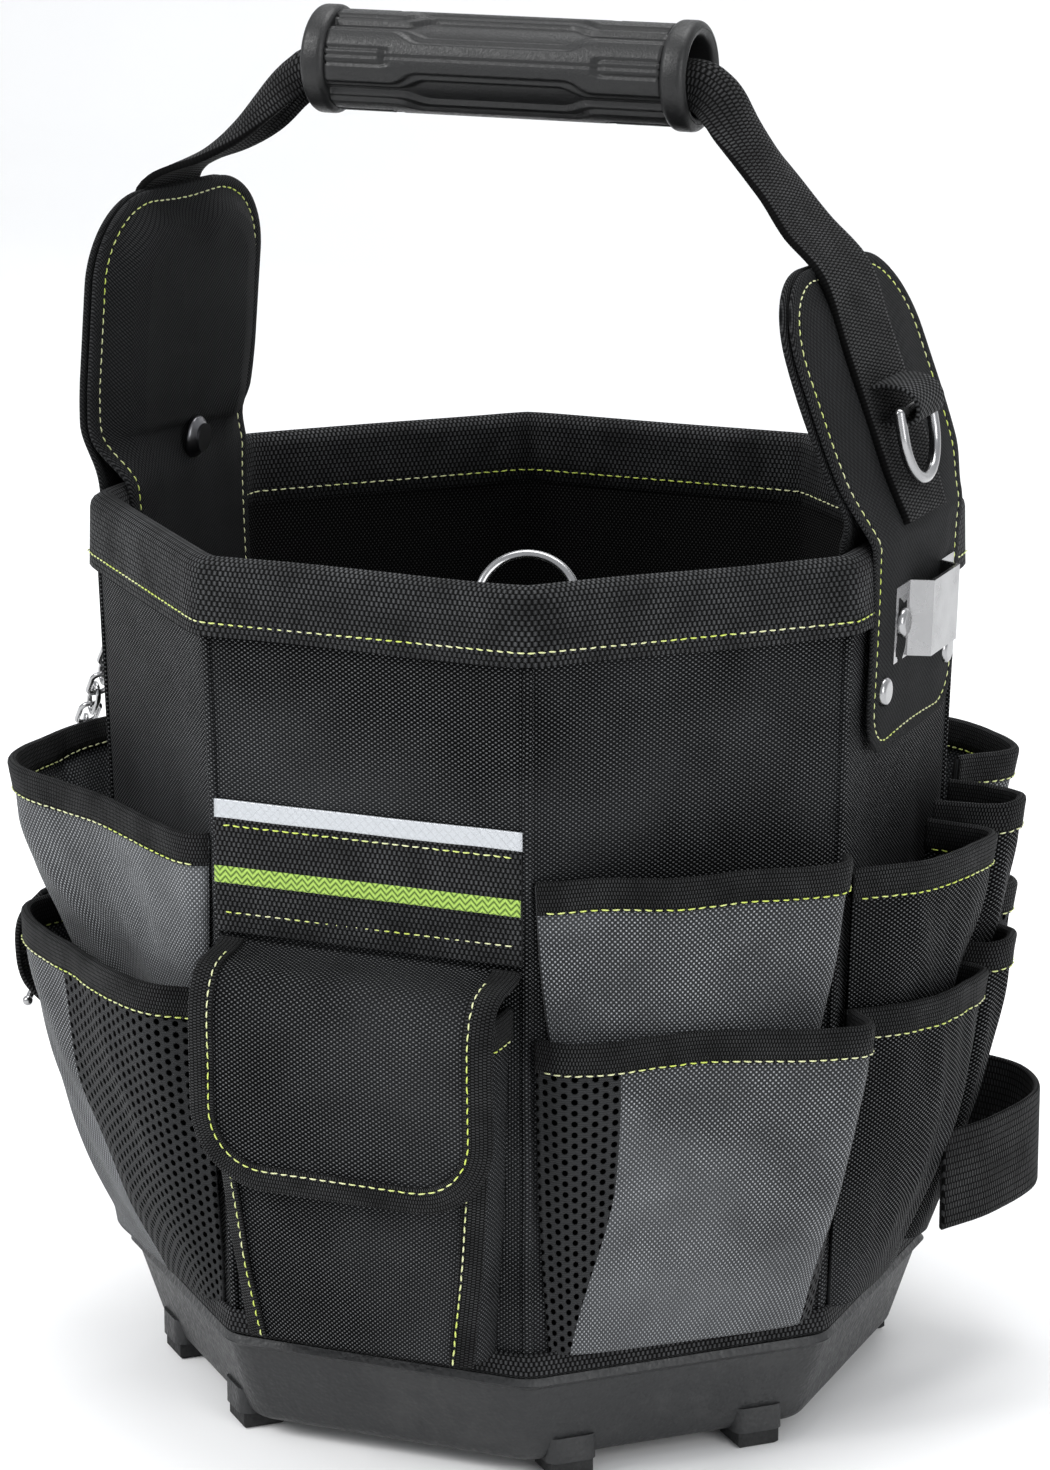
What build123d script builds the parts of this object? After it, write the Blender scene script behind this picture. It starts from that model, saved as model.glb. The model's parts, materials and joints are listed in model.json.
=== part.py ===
from build123d import *

import os
from math import atan, cos, degrees, hypot, radians, sin, tan

os.makedirs("parts", exist_ok=True)

# ---------------------------------------------------------------- driving dimensions, in mm
# Frame: origin under the middle of the bucket, feet on Z = 0, handle along X, flap pocket on -Y.
SIDES = 8
HALF_TURN = 180
PANEL_STEP = 360 / SIDES
VERTEX_ANGLE = PANEL_STEP / 2
HALF_SIDE = tan(radians(VERTEX_ANGLE))
ON_FLOOR = (Align.CENTER, Align.CENTER, Align.MIN)

RIM_Z = 310
RIM_APOTHEM = 138.6
SEAM_Z = 42
SEAM_APOTHEM = 130.4
SLOPE = (RIM_APOTHEM - SEAM_APOTHEM) / (RIM_Z - SEAM_Z)
WALL_TILT = degrees(atan(SLOPE))

GAP = 0.1
SHELL_T = 1.2
BOARD_T = 2.9
LINING_T = 1.0
BINDING_T = 1.6
BOARD_BACK = SHELL_T + GAP + BOARD_T
WALL_IN = -(BOARD_BACK + LINING_T + 2 * GAP)

FOOT_H = 6
FOOT_SIDE = 15
FOOT_CHAMFER = 1
FOOT_OUT, FOOT_ASIDE = 115.5, 34.5
PEG_R = 2.5
PEG_H = 5
BOSS_SIDE = 18
BOSS_H = 9
BOSS_ROUND = 4
TRAY_BOTTOM_AP = 120.5
TRAY_LIP_AP = 131.4
TRAY_LIP_Z = 41
TRAY_FLOOR_T = 3
TRAY_FLOOR_AP = 117.5
TRAY_FLANGE_Z = 55
TRAY_ROUND = 6
TRAY_CORNER_R = 15
RIDGE_H = 2.5
RIDGE_OUT = 1.0
BOARD_FLOOR_T = 3
LINING_TOP_Z = 306
WALL_BOARD_TOP_Z = 305
WALL_BOARD_MARGIN = 2

RIM_BAND_H = 24
BASE_BAND_H = 7.6

YOKE_T = 2.0
YOKE_BOTTOM_Z = 240
YOKE_OUT = BINDING_T + 4 * GAP
YOKE_LOW_HALF = 45
YOKE_FOOT_CUT_Y, YOKE_FOOT_CUT_Z = 17, 20
YOKE_WAIST_Z = 300
YOKE_TOP_HALF, YOKE_TOP_R = 51, 30
YOKE_SHOULDER_Z = 350
YOKE_CORE_T = 2.0
YOKE_CORE_INSET = 7
RIGHT_TOP_Z = 399
LEFT_TOP_Z = 412
RIGHT_LEAN = 0.37
LEFT_LEAN = 0.08
BEND_Z = 313
CORE_Z = 334

STRAP_T = 2.4
STRAP_HALF = 19
STRAP_END_Z = 316
STRAP_GATHER_H = 20
FOLD_Z = 424
FOLD_HALF = 10
FOLDED_T = 5
FOLD_GAP = 0.6
RIGHT_FOLD_X = 91
LEFT_FOLD_X = 116
# Turning points of the handle webbing just outside the grip, as (along X, up) from its end.
RIGHT_MOUTH = (12, -7)
LEFT_MOUTH = (-10, -6)

GRIP_X = -7
GRIP_Z = 458
GRIP_LENGTH = 140
GRIP_R = 16.2
GRIP_BORE_R = 13.5
FLANGE_R = 18.6
FLANGE_T = 9
GRIP_RIB_OUT = 1.0
GRIP_RIBS, GRIP_RIB_T, GRIP_RIB_PITCH, GRIP_RIB_INSET = 3, 3, 6, 5
PAD_HALF, PAD_END = 3.6, 34
PAD_WAIST_SHARE, PAD_WAIST_W = 0.9, 11.5

RIVET_SHANK_R = 2.0
RIVET_HEAD_R = 5.0
RIVET_HEAD_H = 2.2
RIVET_Y = 33
RIVET_Z = 262
STRAP_RIVET_Z = 323

WIRE_R = 2.0
RING_WIRE_R = 1.6
RUNNING_GAP = 0.06
SPARE = 3  # extra length that a trimming outline cuts off


# ---------------------------------------------------------------- the eight-sided wall
def apothem(z, out=0):
    """Distance from the axis to a wall panel's outer face at height z, plus out."""
    return SEAM_APOTHEM + (z - SEAM_Z) * SLOPE + out


def octagon(ap, z):
    return Plane.XY.offset(z) * RegularPolygon(ap, SIDES, major_radius=False, rotation=VERTEX_ANGLE)


def tub(ap0, z0, ap1, z1):
    return loft([octagon(ap0, z0), octagon(ap1, z1)])


def wall_block(z0, z1, out):
    return tub(apothem(z0, out), z0, apothem(z1, out), z1)


def wall_ring(z0, z1, inner, outer):
    return wall_block(z0, z1, outer) - wall_block(z0, z1, inner)


def turned(part, heading):
    """A part built on the +X panel, moved to the panel that faces heading."""
    return Rot(0, 0, heading) * part


def outline_prism(face_points):
    """A closed (y, z) outline pushed along +X through the wall."""
    return extrude(Plane.YZ * make_face(Polyline(*face_points, close=True)), 2 * RIM_APOTHEM)


def patch(z0, z1, out, thick, margin, side0=-1, side1=1):
    """A flat layer on the +X panel, margin short of the corners."""
    low = apothem(z0, out) * HALF_SIDE - margin
    high = apothem(z1, out) * HALF_SIDE - margin
    outline = [(side0 * low, z0), (side1 * low, z0), (side1 * high, z1), (side0 * high, z1)]
    return wall_ring(z0, z1, out, out + thick) & outline_prism(outline)


def wall_plane(y, z, out=0):
    """Local frame on the +X panel: x along +Y, y up the wall, z outward."""
    tilt = radians(WALL_TILT)
    return Plane((apothem(z), y, z), x_dir=(0, 1, 0), z_dir=(cos(tilt), 0, -sin(tilt))).offset(out)


def save(name, *solids):
    shape = solids[0] if len(solids) == 1 else Compound(children=list(solids))
    export_step(shape, f"parts/{name}.step")


def foot_copies(part):
    """A part made on the axis, repeated at both ends of the diagonal panels and in the middle."""
    spots = [Pos(FOOT_OUT, side * FOOT_ASIDE, 0) for side in (-1, 1)]
    corners = [Rot(0, 0, PANEL_STEP * i) * spot * part for i in range(1, SIDES, 2) for spot in spots]
    return corners + [part]


# ---------------------------------------------------------------- base
def tray_inner_ap(z):
    share = (z - FOOT_H - TRAY_FLOOR_T) / (TRAY_LIP_Z - FOOT_H - TRAY_FLOOR_T)
    return TRAY_FLOOR_AP + share * (apothem(TRAY_LIP_Z, -BOARD_BACK) - TRAY_FLOOR_AP)


def foot_peg(radius):
    return Pos(0, 0, FOOT_H) * Cylinder(radius, PEG_H, align=ON_FLOOR)


def soft_tub(ap0, z0, ap1, z1):
    """An eight-sided frustum with rounded corners."""
    block = tub(ap0, z0, ap1, z1)
    return fillet([edge for edge in block.edges() if edge.length < ap0 / 2], TRAY_CORNER_R)


def base_tray():
    bowl = soft_tub(TRAY_BOTTOM_AP, FOOT_H, TRAY_LIP_AP, TRAY_LIP_Z)
    bowl = fillet(bowl.edges().group_by(Axis.Z)[0], TRAY_ROUND)
    crest, crest_z = TRAY_LIP_AP + RIDGE_OUT, TRAY_LIP_Z - RIDGE_H
    ridge = soft_tub(TRAY_LIP_AP - 2 * RIDGE_OUT, crest_z - RIDGE_H, crest, crest_z)
    ridge += soft_tub(crest, crest_z, TRAY_LIP_AP, TRAY_LIP_Z)
    boss = Pos(0, 0, FOOT_H) * Box(BOSS_SIDE, BOSS_SIDE, BOSS_H, align=ON_FLOOR)
    boss = fillet(boss.edges().filter_by(Axis.Z), BOSS_ROUND)
    flange = wall_block(TRAY_LIP_Z, TRAY_FLANGE_Z, -(SHELL_T + GAP))
    solid = bowl + ridge + flange
    for part in foot_copies(boss):
        solid += part
    floor_z = FOOT_H + TRAY_FLOOR_T
    hollow = tub(tray_inner_ap(floor_z), floor_z, tray_inner_ap(TRAY_LIP_Z), TRAY_LIP_Z)
    hollow += wall_block(TRAY_LIP_Z, TRAY_FLANGE_Z, -BOARD_BACK)
    solid -= hollow
    for part in foot_copies(boss):
        solid += part
    for part in foot_copies(foot_peg(PEG_R + GAP)):
        solid -= part
    return solid


def foot():
    pad = Box(FOOT_SIDE, FOOT_SIDE, FOOT_H, align=ON_FLOOR)
    pad = chamfer(pad.edges().group_by(Axis.Z)[0], FOOT_CHAMFER)
    return pad + foot_peg(PEG_R)


BOARD_BOTTOM = FOOT_H + BOSS_H + GAP
BOARD_TOP = BOARD_BOTTOM + BOARD_FLOOR_T


def base_board():
    """The stiff floor board, lying on the bosses of the tray."""
    low, high = [tray_inner_ap(z) - 3 * GAP for z in (BOARD_BOTTOM, BOARD_TOP)]
    return tub(low, BOARD_BOTTOM, high, BOARD_TOP)


def lining_block(z0, skin):
    low = tub(tray_inner_ap(z0) - skin, z0, tray_inner_ap(TRAY_LIP_Z) - skin, TRAY_LIP_Z)
    return low + wall_block(TRAY_LIP_Z, LINING_TOP_Z, -BOARD_BACK - skin)


def lining():
    floor_z, skin = BOARD_TOP + GAP, 2 * GAP
    return lining_block(floor_z, skin) - lining_block(floor_z + LINING_T, skin + LINING_T)


def wall_boards():
    z0 = TRAY_FLANGE_Z + 3 * GAP
    board = patch(z0, WALL_BOARD_TOP_Z, -BOARD_BACK, BOARD_T - GAP, WALL_BOARD_MARGIN)
    return [turned(board, PANEL_STEP * i) for i in range(SIDES)]


def rim_binding():
    low, top = RIM_Z - RIM_BAND_H, RIM_Z + BINDING_T
    fold = wall_ring(low, top, WALL_IN - GAP - BINDING_T, GAP + BINDING_T)
    return fold - wall_ring(low, RIM_Z + GAP, WALL_IN - GAP, GAP)


# ---------------------------------------------------------------- pockets
class Pocket:
    """A fabric wall standing off the bucket: (u, out) outlines at its foot and its mouth.

    u runs counter-clockwise along the panel from its middle; out is the distance from the panel.
    back closes the outline inside the bucket, where the wall is cut away.
    """

    def __init__(self, heading, z0, z1, foot_line, mouth_line, back=None):
        self.heading, self.z0, self.z1 = heading, z0, z1
        self.foot_line, self.mouth_line = foot_line, mouth_line
        right, left = mouth_line[-1][0], mouth_line[0][0]
        self.back = back or [(right - BACK_INSET, -BACK_DEPTH), (left + BACK_INSET, -BACK_DEPTH)]

    def line_at(self, z):
        share = (z - self.z0) / (self.z1 - self.z0)
        pairs = zip(self.foot_line, self.mouth_line)
        return [(a[0] + share * (b[0] - a[0]), a[1] + share * (b[1] - a[1])) for a, b in pairs]

    def face(self, z, grow):
        points = grown(self.line_at(z), grow) + self.back
        flat = [(apothem(z, out), u) for u, out in points]
        return Plane.XY.offset(z) * make_face(Polyline(*flat, close=True))

    def block(self, za, zb, grow):
        return loft([self.face(za, grow), self.face(zb, grow)], ruled=True)

    def wall(self):
        solid = self.block(self.z0, self.z1, 0)
        solid -= self.block(self.z0 + POCKET_T, self.z1, -POCKET_T)
        solid -= wall_block(self.z0 - 1, self.z1 + 1, GAP)
        return turned(outside(solid), self.heading)

    def binding(self):
        low, top = self.z1 - POCKET_BAND_H, self.z1 + POCKET_BAND_T
        solid = self.block(low, top, POCKET_BAND_T + GAP) - self.block(low, self.z1 + GAP, GAP)
        solid -= self.block(low, top, -POCKET_T)
        solid -= wall_block(low - 1, top + 1, GAP)
        return turned(outside(solid), self.heading)


def grown(line, amount):
    """The line moved outward by amount, mitred at its corners."""
    moved = []
    for i, (u, out) in enumerate(line):
        before = line[max(i - 1, 0)]
        after = line[min(i + 1, len(line) - 1)]
        normals = []
        for a, b in ((before, (u, out)), ((u, out), after)):
            length = hypot(b[0] - a[0], b[1] - a[1])
            if length:
                normals.append((-(b[1] - a[1]) / length, (b[0] - a[0]) / length))
        n = [sum(v[k] for v in normals) / len(normals) for k in (0, 1)]
        scale = amount / (n[0] ** 2 + n[1] ** 2)
        moved.append((u + n[0] * scale, out + n[1] * scale))
    return moved


def outside(shape):
    """The largest solid of a cut, which is the one outside the bucket."""
    return max(shape.solids(), key=lambda s: s.volume)


def mirrored(line):
    return [(-u, out) for u, out in reversed(line)]


POCKET_T = 1.4
BACK_INSET, BACK_DEPTH = 8, 20
POCKET_BAND_H = 11
POCKET_BAND_T = 1.2
UPPER_Z0, UPPER_Z = 112, 213
LOWER_Z0, LOWER_Z = 49, 160
EDGE = 54

# Corner pocket that stands off most near the handle side of its panel.
CORNER_UPPER_FOOT = [(-38, 0), (-32, 4), (0, 6), (32, 6), (38, 0)]
CORNER_UPPER_MOUTH = [(-EDGE, 1), (-38, 7), (4, 14), (46, 18), (EDGE + 1, 8)]
CORNER_LOWER_FOOT = [(-47, 0), (-34, 5), (0, 7), (36, 8), (49, 2)]
CORNER_LOWER_MOUTH = [(-EDGE, 3), (-42, 12), (0, 18), (50, 31), (EDGE + 3, 12)]

# Left front corner: both mouths run on round the corner on to the handle side.
WRAP_BACK = [(40, -30), (-70, -66)]
WRAP_FOOT = [(-44, -6), (-43, -1), (-40, 3), (-34, 6), (-14, 7), (0, 6), (32, 4), (38, 0)]
WRAP_MOUTH = [(-102, -46), (-110, -18), (-90, 13), (-64, 33), (-30, 27), (0, 19), (46, 9), (55, 1)]
WRAP_LOWER_FOOT = [(-60, -8), (-58, -2), (-52, 5), (-42, 9), (0, 8), (34, 5), (47, 0)]
WRAP_LOWER_MOUTH = [(-84, -26), (-86, -8), (-76, 14), (-60, 32), (0, 30), (38, 22), (EDGE, 4)]

# Handle side: two narrow round pockets side by side in each row.
FRONT_UPPER_FOOT = [(-42, 0), (-34, 6), (-12, 9), (6, 7), (12, 0)]
FRONT_LOWER_FOOT = [(-50, 0), (-42, 6), (-14, 8), (8, 6), (16, 0)]
FRONT_MOUTH = [(-52, 3), (-36, 20), (-10, 30), (14, 31), (20, 6)]
REAR_UPPER_FOOT = [(30, 0), (31, 6), (37, 8), (43, 5), (47, 0)]
REAR_LOWER_FOOT = [(20, 0), (26, 6), (36, 8), (46, 5), (52, 0)]
REAR_MOUTH = [(24, 6), (27, 29), (39, 33), (50, 24), (EDGE, 3)]
LEFT_LOWER_FOOT = [(-48, 0), (-40, 8), (-20, 9), (0, 8), (8, 0)]
LEFT_LOWER_MOUTH = [(-EDGE, 3), (-44, 24), (-20, 30), (4, 24), (12, 3)]

# Rear corners and back.
REAR_CORNER_UPPER_FOOT = [(-38, 0), (-32, 6), (0, 7), (30, 5), (38, 0)]
REAR_CORNER_UPPER_MOUTH = [(-EDGE, 6), (-45, 34), (0, 30), (42, 14), (EDGE, 1)]
REAR_CORNER_LOWER_FOOT = [(-48, 2), (-38, 8), (0, 8), (36, 6), (47, 0)]
REAR_CORNER_LOWER_MOUTH = [(-EDGE, 10), (-46, 36), (0, 30), (42, 16), (EDGE, 3)]
BACK_UPPER_FOOT = [(-38, 0), (-34, 5), (0, 6), (34, 5), (38, 0)]
BACK_UPPER_MOUTH = [(-EDGE, 1), (-42, 16), (0, 22), (42, 16), (EDGE, 1)]
BACK_LOWER_FOOT = [(-48, 0), (-40, 8), (0, 9), (40, 8), (48, 0)]
BACK_LOWER_MOUTH = [(-EDGE, 3), (-44, 24), (0, 30), (44, 24), (EDGE, 3)]

def upper(heading, rise, foot_line, mouth_line, back=None):
    return Pocket(heading, UPPER_Z0, UPPER_Z + rise, foot_line, mouth_line, back)


def lower(heading, rise, foot_line, mouth_line, back=None):
    return Pocket(heading, LOWER_Z0, LOWER_Z + rise, foot_line, mouth_line, back)


UPPER_POCKETS = {
    "upper_pocket_front_right": upper(-45, 0, CORNER_UPPER_FOOT, CORNER_UPPER_MOUTH),
    "upper_pocket_front_left": upper(-135, 4, WRAP_FOOT, WRAP_MOUTH, WRAP_BACK),
    "upper_pocket_right_front": upper(0, -9, FRONT_UPPER_FOOT, FRONT_MOUTH),
    "upper_pocket_right_rear": upper(0, -4, REAR_UPPER_FOOT, REAR_MOUTH),
    "upper_pocket_left_rear": upper(180, -6, mirrored(REAR_UPPER_FOOT), mirrored(REAR_MOUTH)),
    "upper_pocket_rear_right": upper(45, 2, REAR_CORNER_UPPER_FOOT, REAR_CORNER_UPPER_MOUTH),
    "upper_pocket_rear_left": upper(
        135, 2, mirrored(REAR_CORNER_UPPER_FOOT), mirrored(REAR_CORNER_UPPER_MOUTH)
    ),
    "upper_pocket_back": upper(90, 0, BACK_UPPER_FOOT, BACK_UPPER_MOUTH),
}
LOWER_POCKETS = {
    "lower_pocket_front_right": lower(-45, 0, CORNER_LOWER_FOOT, CORNER_LOWER_MOUTH),
    "lower_pocket_front_left": lower(-135, 3, WRAP_LOWER_FOOT, WRAP_LOWER_MOUTH, WRAP_BACK),
    "lower_pocket_right_front": lower(0, -5, FRONT_LOWER_FOOT, FRONT_MOUTH),
    "lower_pocket_right_rear": lower(0, 0, REAR_LOWER_FOOT, REAR_MOUTH),
    "lower_pocket_left": lower(180, 0, LEFT_LOWER_FOOT, LEFT_LOWER_MOUTH),
    "lower_pocket_rear_right": lower(45, 4, REAR_CORNER_LOWER_FOOT, REAR_CORNER_LOWER_MOUTH),
    "lower_pocket_rear_left": lower(
        135, 4, mirrored(REAR_CORNER_LOWER_FOOT), mirrored(REAR_CORNER_LOWER_MOUTH)
    ),
    "lower_pocket_back": lower(90, 0, BACK_LOWER_FOOT, BACK_LOWER_MOUTH),
}

FLAP_POCKET_FOOT = [(-43, 0), (-41, 12), (-36, 16), (36, 16), (41, 12), (43, 0)]
FLAP_POCKET_MOUTH = [(-50, 0), (-50, 18), (-44, 24), (44, 24), (50, 18), (50, 0)]
FLAP_POCKET_Z = 170
FLAP_POCKET_FACE = 2  # the outline point where the pocket's flat face starts
FLAP_POCKET = Pocket(-90, LOWER_Z0, FLAP_POCKET_Z, FLAP_POCKET_FOOT, FLAP_POCKET_MOUTH)

BAND_Z0, BAND_Z1 = 185.5, 225
BAND_T = 1.4
STRIPE_Z0, STRIPE_Z1 = 202.7, 208.5
STRIPE_T = 0.5
REFLECTOR_Z1 = 231
REFLECTOR_T = 0.6

FLAP_T = 2.0
FLAP_HALF = 53.5
FLAP_TOP_Z = 182
FLAP_HINGE_OUT = 5
FLAP_SHOULDER_Z = 175
FLAP_OUT = 27.5
FLAP_SLOPE_OUT, FLAP_ROLL_Z = 6, 4
FLAP_BOTTOM_Z = 106
FLAP_CORNER = 26
FLAP_EDGE = 9
FLAP_BINDING_T = 0.8
TAPE_T = 0.9
HOOK_W, HOOK_H, HOOK_Z = 50, 22, 122


# ---------------------------------------------------------------- sheet, wire and webbing helpers
def mitred(path, amount):
    """A climbing (x, z) path moved away from the axis by amount."""
    return [(x, z) for z, x in grown([(z, x) for x, z in path], amount)]


def bent_sheet(path, thick):
    """A sheet that follows a climbing (x, z) path, thick on its outer side, wide along Y."""
    profile = make_face(Polyline(*path, *reversed(mitred(path, thick)), close=True))
    return extrude(Plane.XZ * profile, RIM_APOTHEM, both=True)


def wall_path(*out_z):
    """(out, z) points on the +X panel as (x, z) points."""
    return [(apothem(z, out), z) for out, z in out_z]


def rod(a, b, radius):
    """A round bar between two points."""
    direction = Vector(*b) - Vector(*a)
    return extrude(Plane(a, z_dir=direction) * Circle(radius), direction.length)


def half_ring(major, minor):
    """The lower half of a wire ring that lies in the local XY plane."""
    reach = 2 * (major + minor)
    return Torus(major, minor) & Pos(0, -reach / 2, 0) * Box(reach, reach, 2 * minor + 1)


def chain_link(at, along, across, pitch):
    """An oval wire link between two hanging points pitch apart, its flat side facing across."""
    half = pitch / 2 + LINK_WIRE_R + LINK_SLACK - LINK_R
    end = Pos(0, -half, 0) * half_ring(LINK_R, LINK_WIRE_R)
    solid = end + Rot(0, 0, HALF_TURN) * end
    for side in (-LINK_R, LINK_R):
        solid += rod((side, -half, 0), (side, half, 0), LINK_WIRE_R)
    return Plane(at, x_dir=Vector(*along).cross(Vector(*across)), z_dir=across) * solid


# ---------------------------------------------------------------- yokes and handle
def yoke_face_x(z, lean):
    """The inner face of a yoke's outer layer above the bend."""
    return apothem(BEND_Z, YOKE_OUT) - lean * (z - BEND_Z)


def lean_cos(lean):
    return cos(atan(lean))


def yoke_outline(top_z, inset=0, bottom_z=YOKE_BOTTOM_Z):
    """Tongue with round top corners, a slight waist and cut lower corners, in (y, z)."""
    half, waist, foot = YOKE_TOP_HALF - inset, YOKE_LOW_HALF - inset, YOKE_LOW_HALF - YOKE_FOOT_CUT_Y
    sides = [(half, top_z - inset), (half, YOKE_SHOULDER_Z)]
    if bottom_z > BEND_Z:
        sides += [(waist + 2, bottom_z)]
    else:
        sides += [(waist, YOKE_WAIST_Z), (waist, bottom_z + YOKE_FOOT_CUT_Z), (foot, bottom_z)]
    face = make_face(Polyline(*sides, *[(-y, z) for y, z in reversed(sides)], close=True))
    face = fillet(face.vertices().group_by(Axis.Y)[-1], YOKE_TOP_R - inset)
    return extrude(Plane.YZ * face, 2 * RIM_APOTHEM)


def yoke_layers(lean, top_z):
    """Outer layer, stiff core and inner layer of the yoke on the +X side."""
    over = top_z + SPARE
    cosine = lean_cos(lean)
    outer_path = wall_path((YOKE_OUT, YOKE_BOTTOM_Z - SPARE), (YOKE_OUT, BEND_Z))
    outer_path += [(yoke_face_x(over, lean), over)]
    outer = bent_sheet(outer_path, YOKE_T) & yoke_outline(top_z)
    core_back = (GAP + YOKE_CORE_T) / cosine
    core_path = [(yoke_face_x(z, lean) - core_back, z) for z in (CORE_Z - SPARE, over)]
    core = bent_sheet(core_path, YOKE_CORE_T) & yoke_outline(top_z, YOKE_CORE_INSET, CORE_Z)
    inner_back = (2 * GAP + YOKE_CORE_T + YOKE_T) / cosine
    inner_out = WALL_IN - BINDING_T - 3 * GAP - YOKE_T
    inner_path = wall_path((inner_out, YOKE_BOTTOM_Z - SPARE), (inner_out, RIM_Z + SPARE))
    inner_path += [(yoke_face_x(z, lean) - inner_back, z) for z in (CORE_Z, over)]
    inner = bent_sheet(inner_path, YOKE_T) & yoke_outline(top_z)
    return outer, core, inner


def strap_x(z, lean, out=0):
    """The inner face of the carrying strap that lies on a yoke, plus out."""
    return yoke_face_x(z, lean) + (YOKE_T + GAP + out) / lean_cos(lean)


def yoke_strap(lean, top_z, fold_x):
    """The strap sewn up the outside of a yoke, gathered and bent inward where it leaves the top."""
    top = FOLD_Z - FOLD_HALF - FOLD_GAP
    path = [(strap_x(z, lean), z) for z in (STRAP_END_Z - SPARE, top_z + 1)]
    path += [(fold_x - STRAP_T / 2, FOLD_Z)]
    half = STRAP_HALF
    edge = [(half, STRAP_END_Z), (half, top - STRAP_GATHER_H), (FOLD_HALF + 1, top)]
    outline = outline_prism([*edge, *[(-y, z) for y, z in reversed(edge)]])
    return bent_sheet(path, STRAP_T) & outline


def handle_webbing():
    """The strap folded double, from yoke to yoke through the grip."""
    end_r, end_l = [GRIP_X + side * (GRIP_LENGTH / 2 + SPARE) for side in (1, -1)]
    low_r, low_l = RIGHT_TOP_Z + 1, LEFT_TOP_Z + 1
    middle = [(strap_x(low_r, RIGHT_LEAN, STRAP_T / 2), low_r), (RIGHT_FOLD_X, FOLD_Z)]
    middle += [(end_r + RIGHT_MOUTH[0], GRIP_Z + RIGHT_MOUTH[1]), (end_r, GRIP_Z)]
    middle += [(end_l, GRIP_Z), (end_l + LEFT_MOUTH[0], GRIP_Z + LEFT_MOUTH[1])]
    middle += [(-LEFT_FOLD_X, FOLD_Z), (-strap_x(low_l, LEFT_LEAN, STRAP_T / 2), low_l)]
    sides = [grown(middle, amount) for amount in (FOLDED_T / 2, -FOLDED_T / 2)]
    profile = make_face(Polyline(*sides[0], *reversed(sides[1]), close=True))
    band = extrude(Plane.XZ * profile, FOLD_HALF, both=True)
    top = GRIP_Z + FLANGE_R
    sides = Polyline((FOLD_HALF, FOLD_Z), (FOLD_HALF, top), (-FOLD_HALF, top), (-FOLD_HALF, FOLD_Z))
    arc = ThreePointArc((-FOLD_HALF, FOLD_Z), (0, FOLD_Z - FOLD_HALF), (FOLD_HALF, FOLD_Z))
    outline = extrude(Plane.YZ * make_face([sides, arc]), 2 * RIM_APOTHEM, both=True)
    return band & outline


def grip():
    """Moulded tube with end flanges, finger ribs and long raised pads."""
    along = Plane((GRIP_X, 0, GRIP_Z), z_dir=(1, 0, 0))
    body = Cylinder(GRIP_R, GRIP_LENGTH)
    for side in (-1, 1):
        flange = Cylinder(FLANGE_R, FLANGE_T)
        flange = fillet(flange.edges().filter_by(GeomType.CIRCLE), FLANGE_T / 3)
        body += Pos(0, 0, side * (GRIP_LENGTH - FLANGE_T) / 2) * flange
        for step in range(GRIP_RIBS):
            rib = Cylinder(GRIP_R + GRIP_RIB_OUT, GRIP_RIB_T)
            reach = GRIP_LENGTH / 2 - FLANGE_T - GRIP_RIB_INSET - GRIP_RIB_PITCH * step
            body += Pos(0, 0, side * reach) * rib
    pad_reach = GRIP_LENGTH / 2 - PAD_END
    pad = Rectangle(2 * pad_reach, 2 * PAD_HALF) + Rectangle(PAD_WAIST_SHARE * pad_reach, PAD_WAIST_W)
    pad_ring = Cylinder(GRIP_R + GRIP_RIB_OUT, GRIP_LENGTH)
    for i in range(SIDES // 2):
        block = Rot(0, 0, 2 * PANEL_STEP * i) * extrude(Plane.XZ * (Rot(0, 0, 90) * pad), FLANGE_R)
        body += block & pad_ring
    return along * (body - Cylinder(GRIP_BORE_R, GRIP_LENGTH + 1))


# ---------------------------------------------------------------- hardware
class Rivet:
    """A tubular rivet through a handle-side wall at (y, z), its head lying at head_out."""

    def __init__(self, y, z, head_out, tail_out, lean=None):
        self.y, self.z, self.head_out, self.tail_out, self.lean = y, z, head_out, tail_out, lean

    def plane(self):
        if self.lean is None:
            return wall_plane(self.y, self.z)
        tilt = atan(self.lean)
        origin = (yoke_face_x(self.z, self.lean), self.y, self.z)
        return Plane(origin, x_dir=(0, 1, 0), z_dir=(cos(tilt), 0, sin(tilt)))

    def along(self, start, length, radius):
        return Pos(0, 0, start) * Cylinder(radius, length, align=ON_FLOOR)

    def hole(self):
        span = self.head_out - self.tail_out
        return self.plane() * self.along(self.tail_out - 1, span + 2, RIVET_SHANK_R + GAP / 2)

    def solid(self):
        span = self.head_out - self.tail_out + 2 * GAP
        head = self.along(self.head_out + GAP, RIVET_HEAD_H, RIVET_HEAD_R)
        head = fillet(head.edges().sort_by(Axis.Z)[-1], RIVET_HEAD_H * 0.8)
        tail = self.along(self.tail_out - GAP - RIVET_HEAD_H / 2, RIVET_HEAD_H / 2, RIVET_HEAD_R)
        return self.plane() * (head + tail + self.along(self.tail_out - GAP, span, RIVET_SHANK_R))


ANCHOR_T = 1.0
CLIP_T = 1.2
CLIP_Y, CLIP_Z = 4, 283
CLIP_HALF, CLIP_BRIDGE_HALF = 31, 16
CLIP_RISE = 7.5
CLIP_H = 26
CLIP_RIVET_AT = 24
CLIP_RAMP = 3
RECESS_W, RECESS_MARGIN = 9, 4
RECESS_DEPTH = 0.4
WALL_HEAD_OUT = YOKE_OUT + YOKE_T
WALL_TAIL_OUT = WALL_IN - BINDING_T - 3 * GAP - YOKE_T
STRAP_TAIL_OUT = -15

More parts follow.
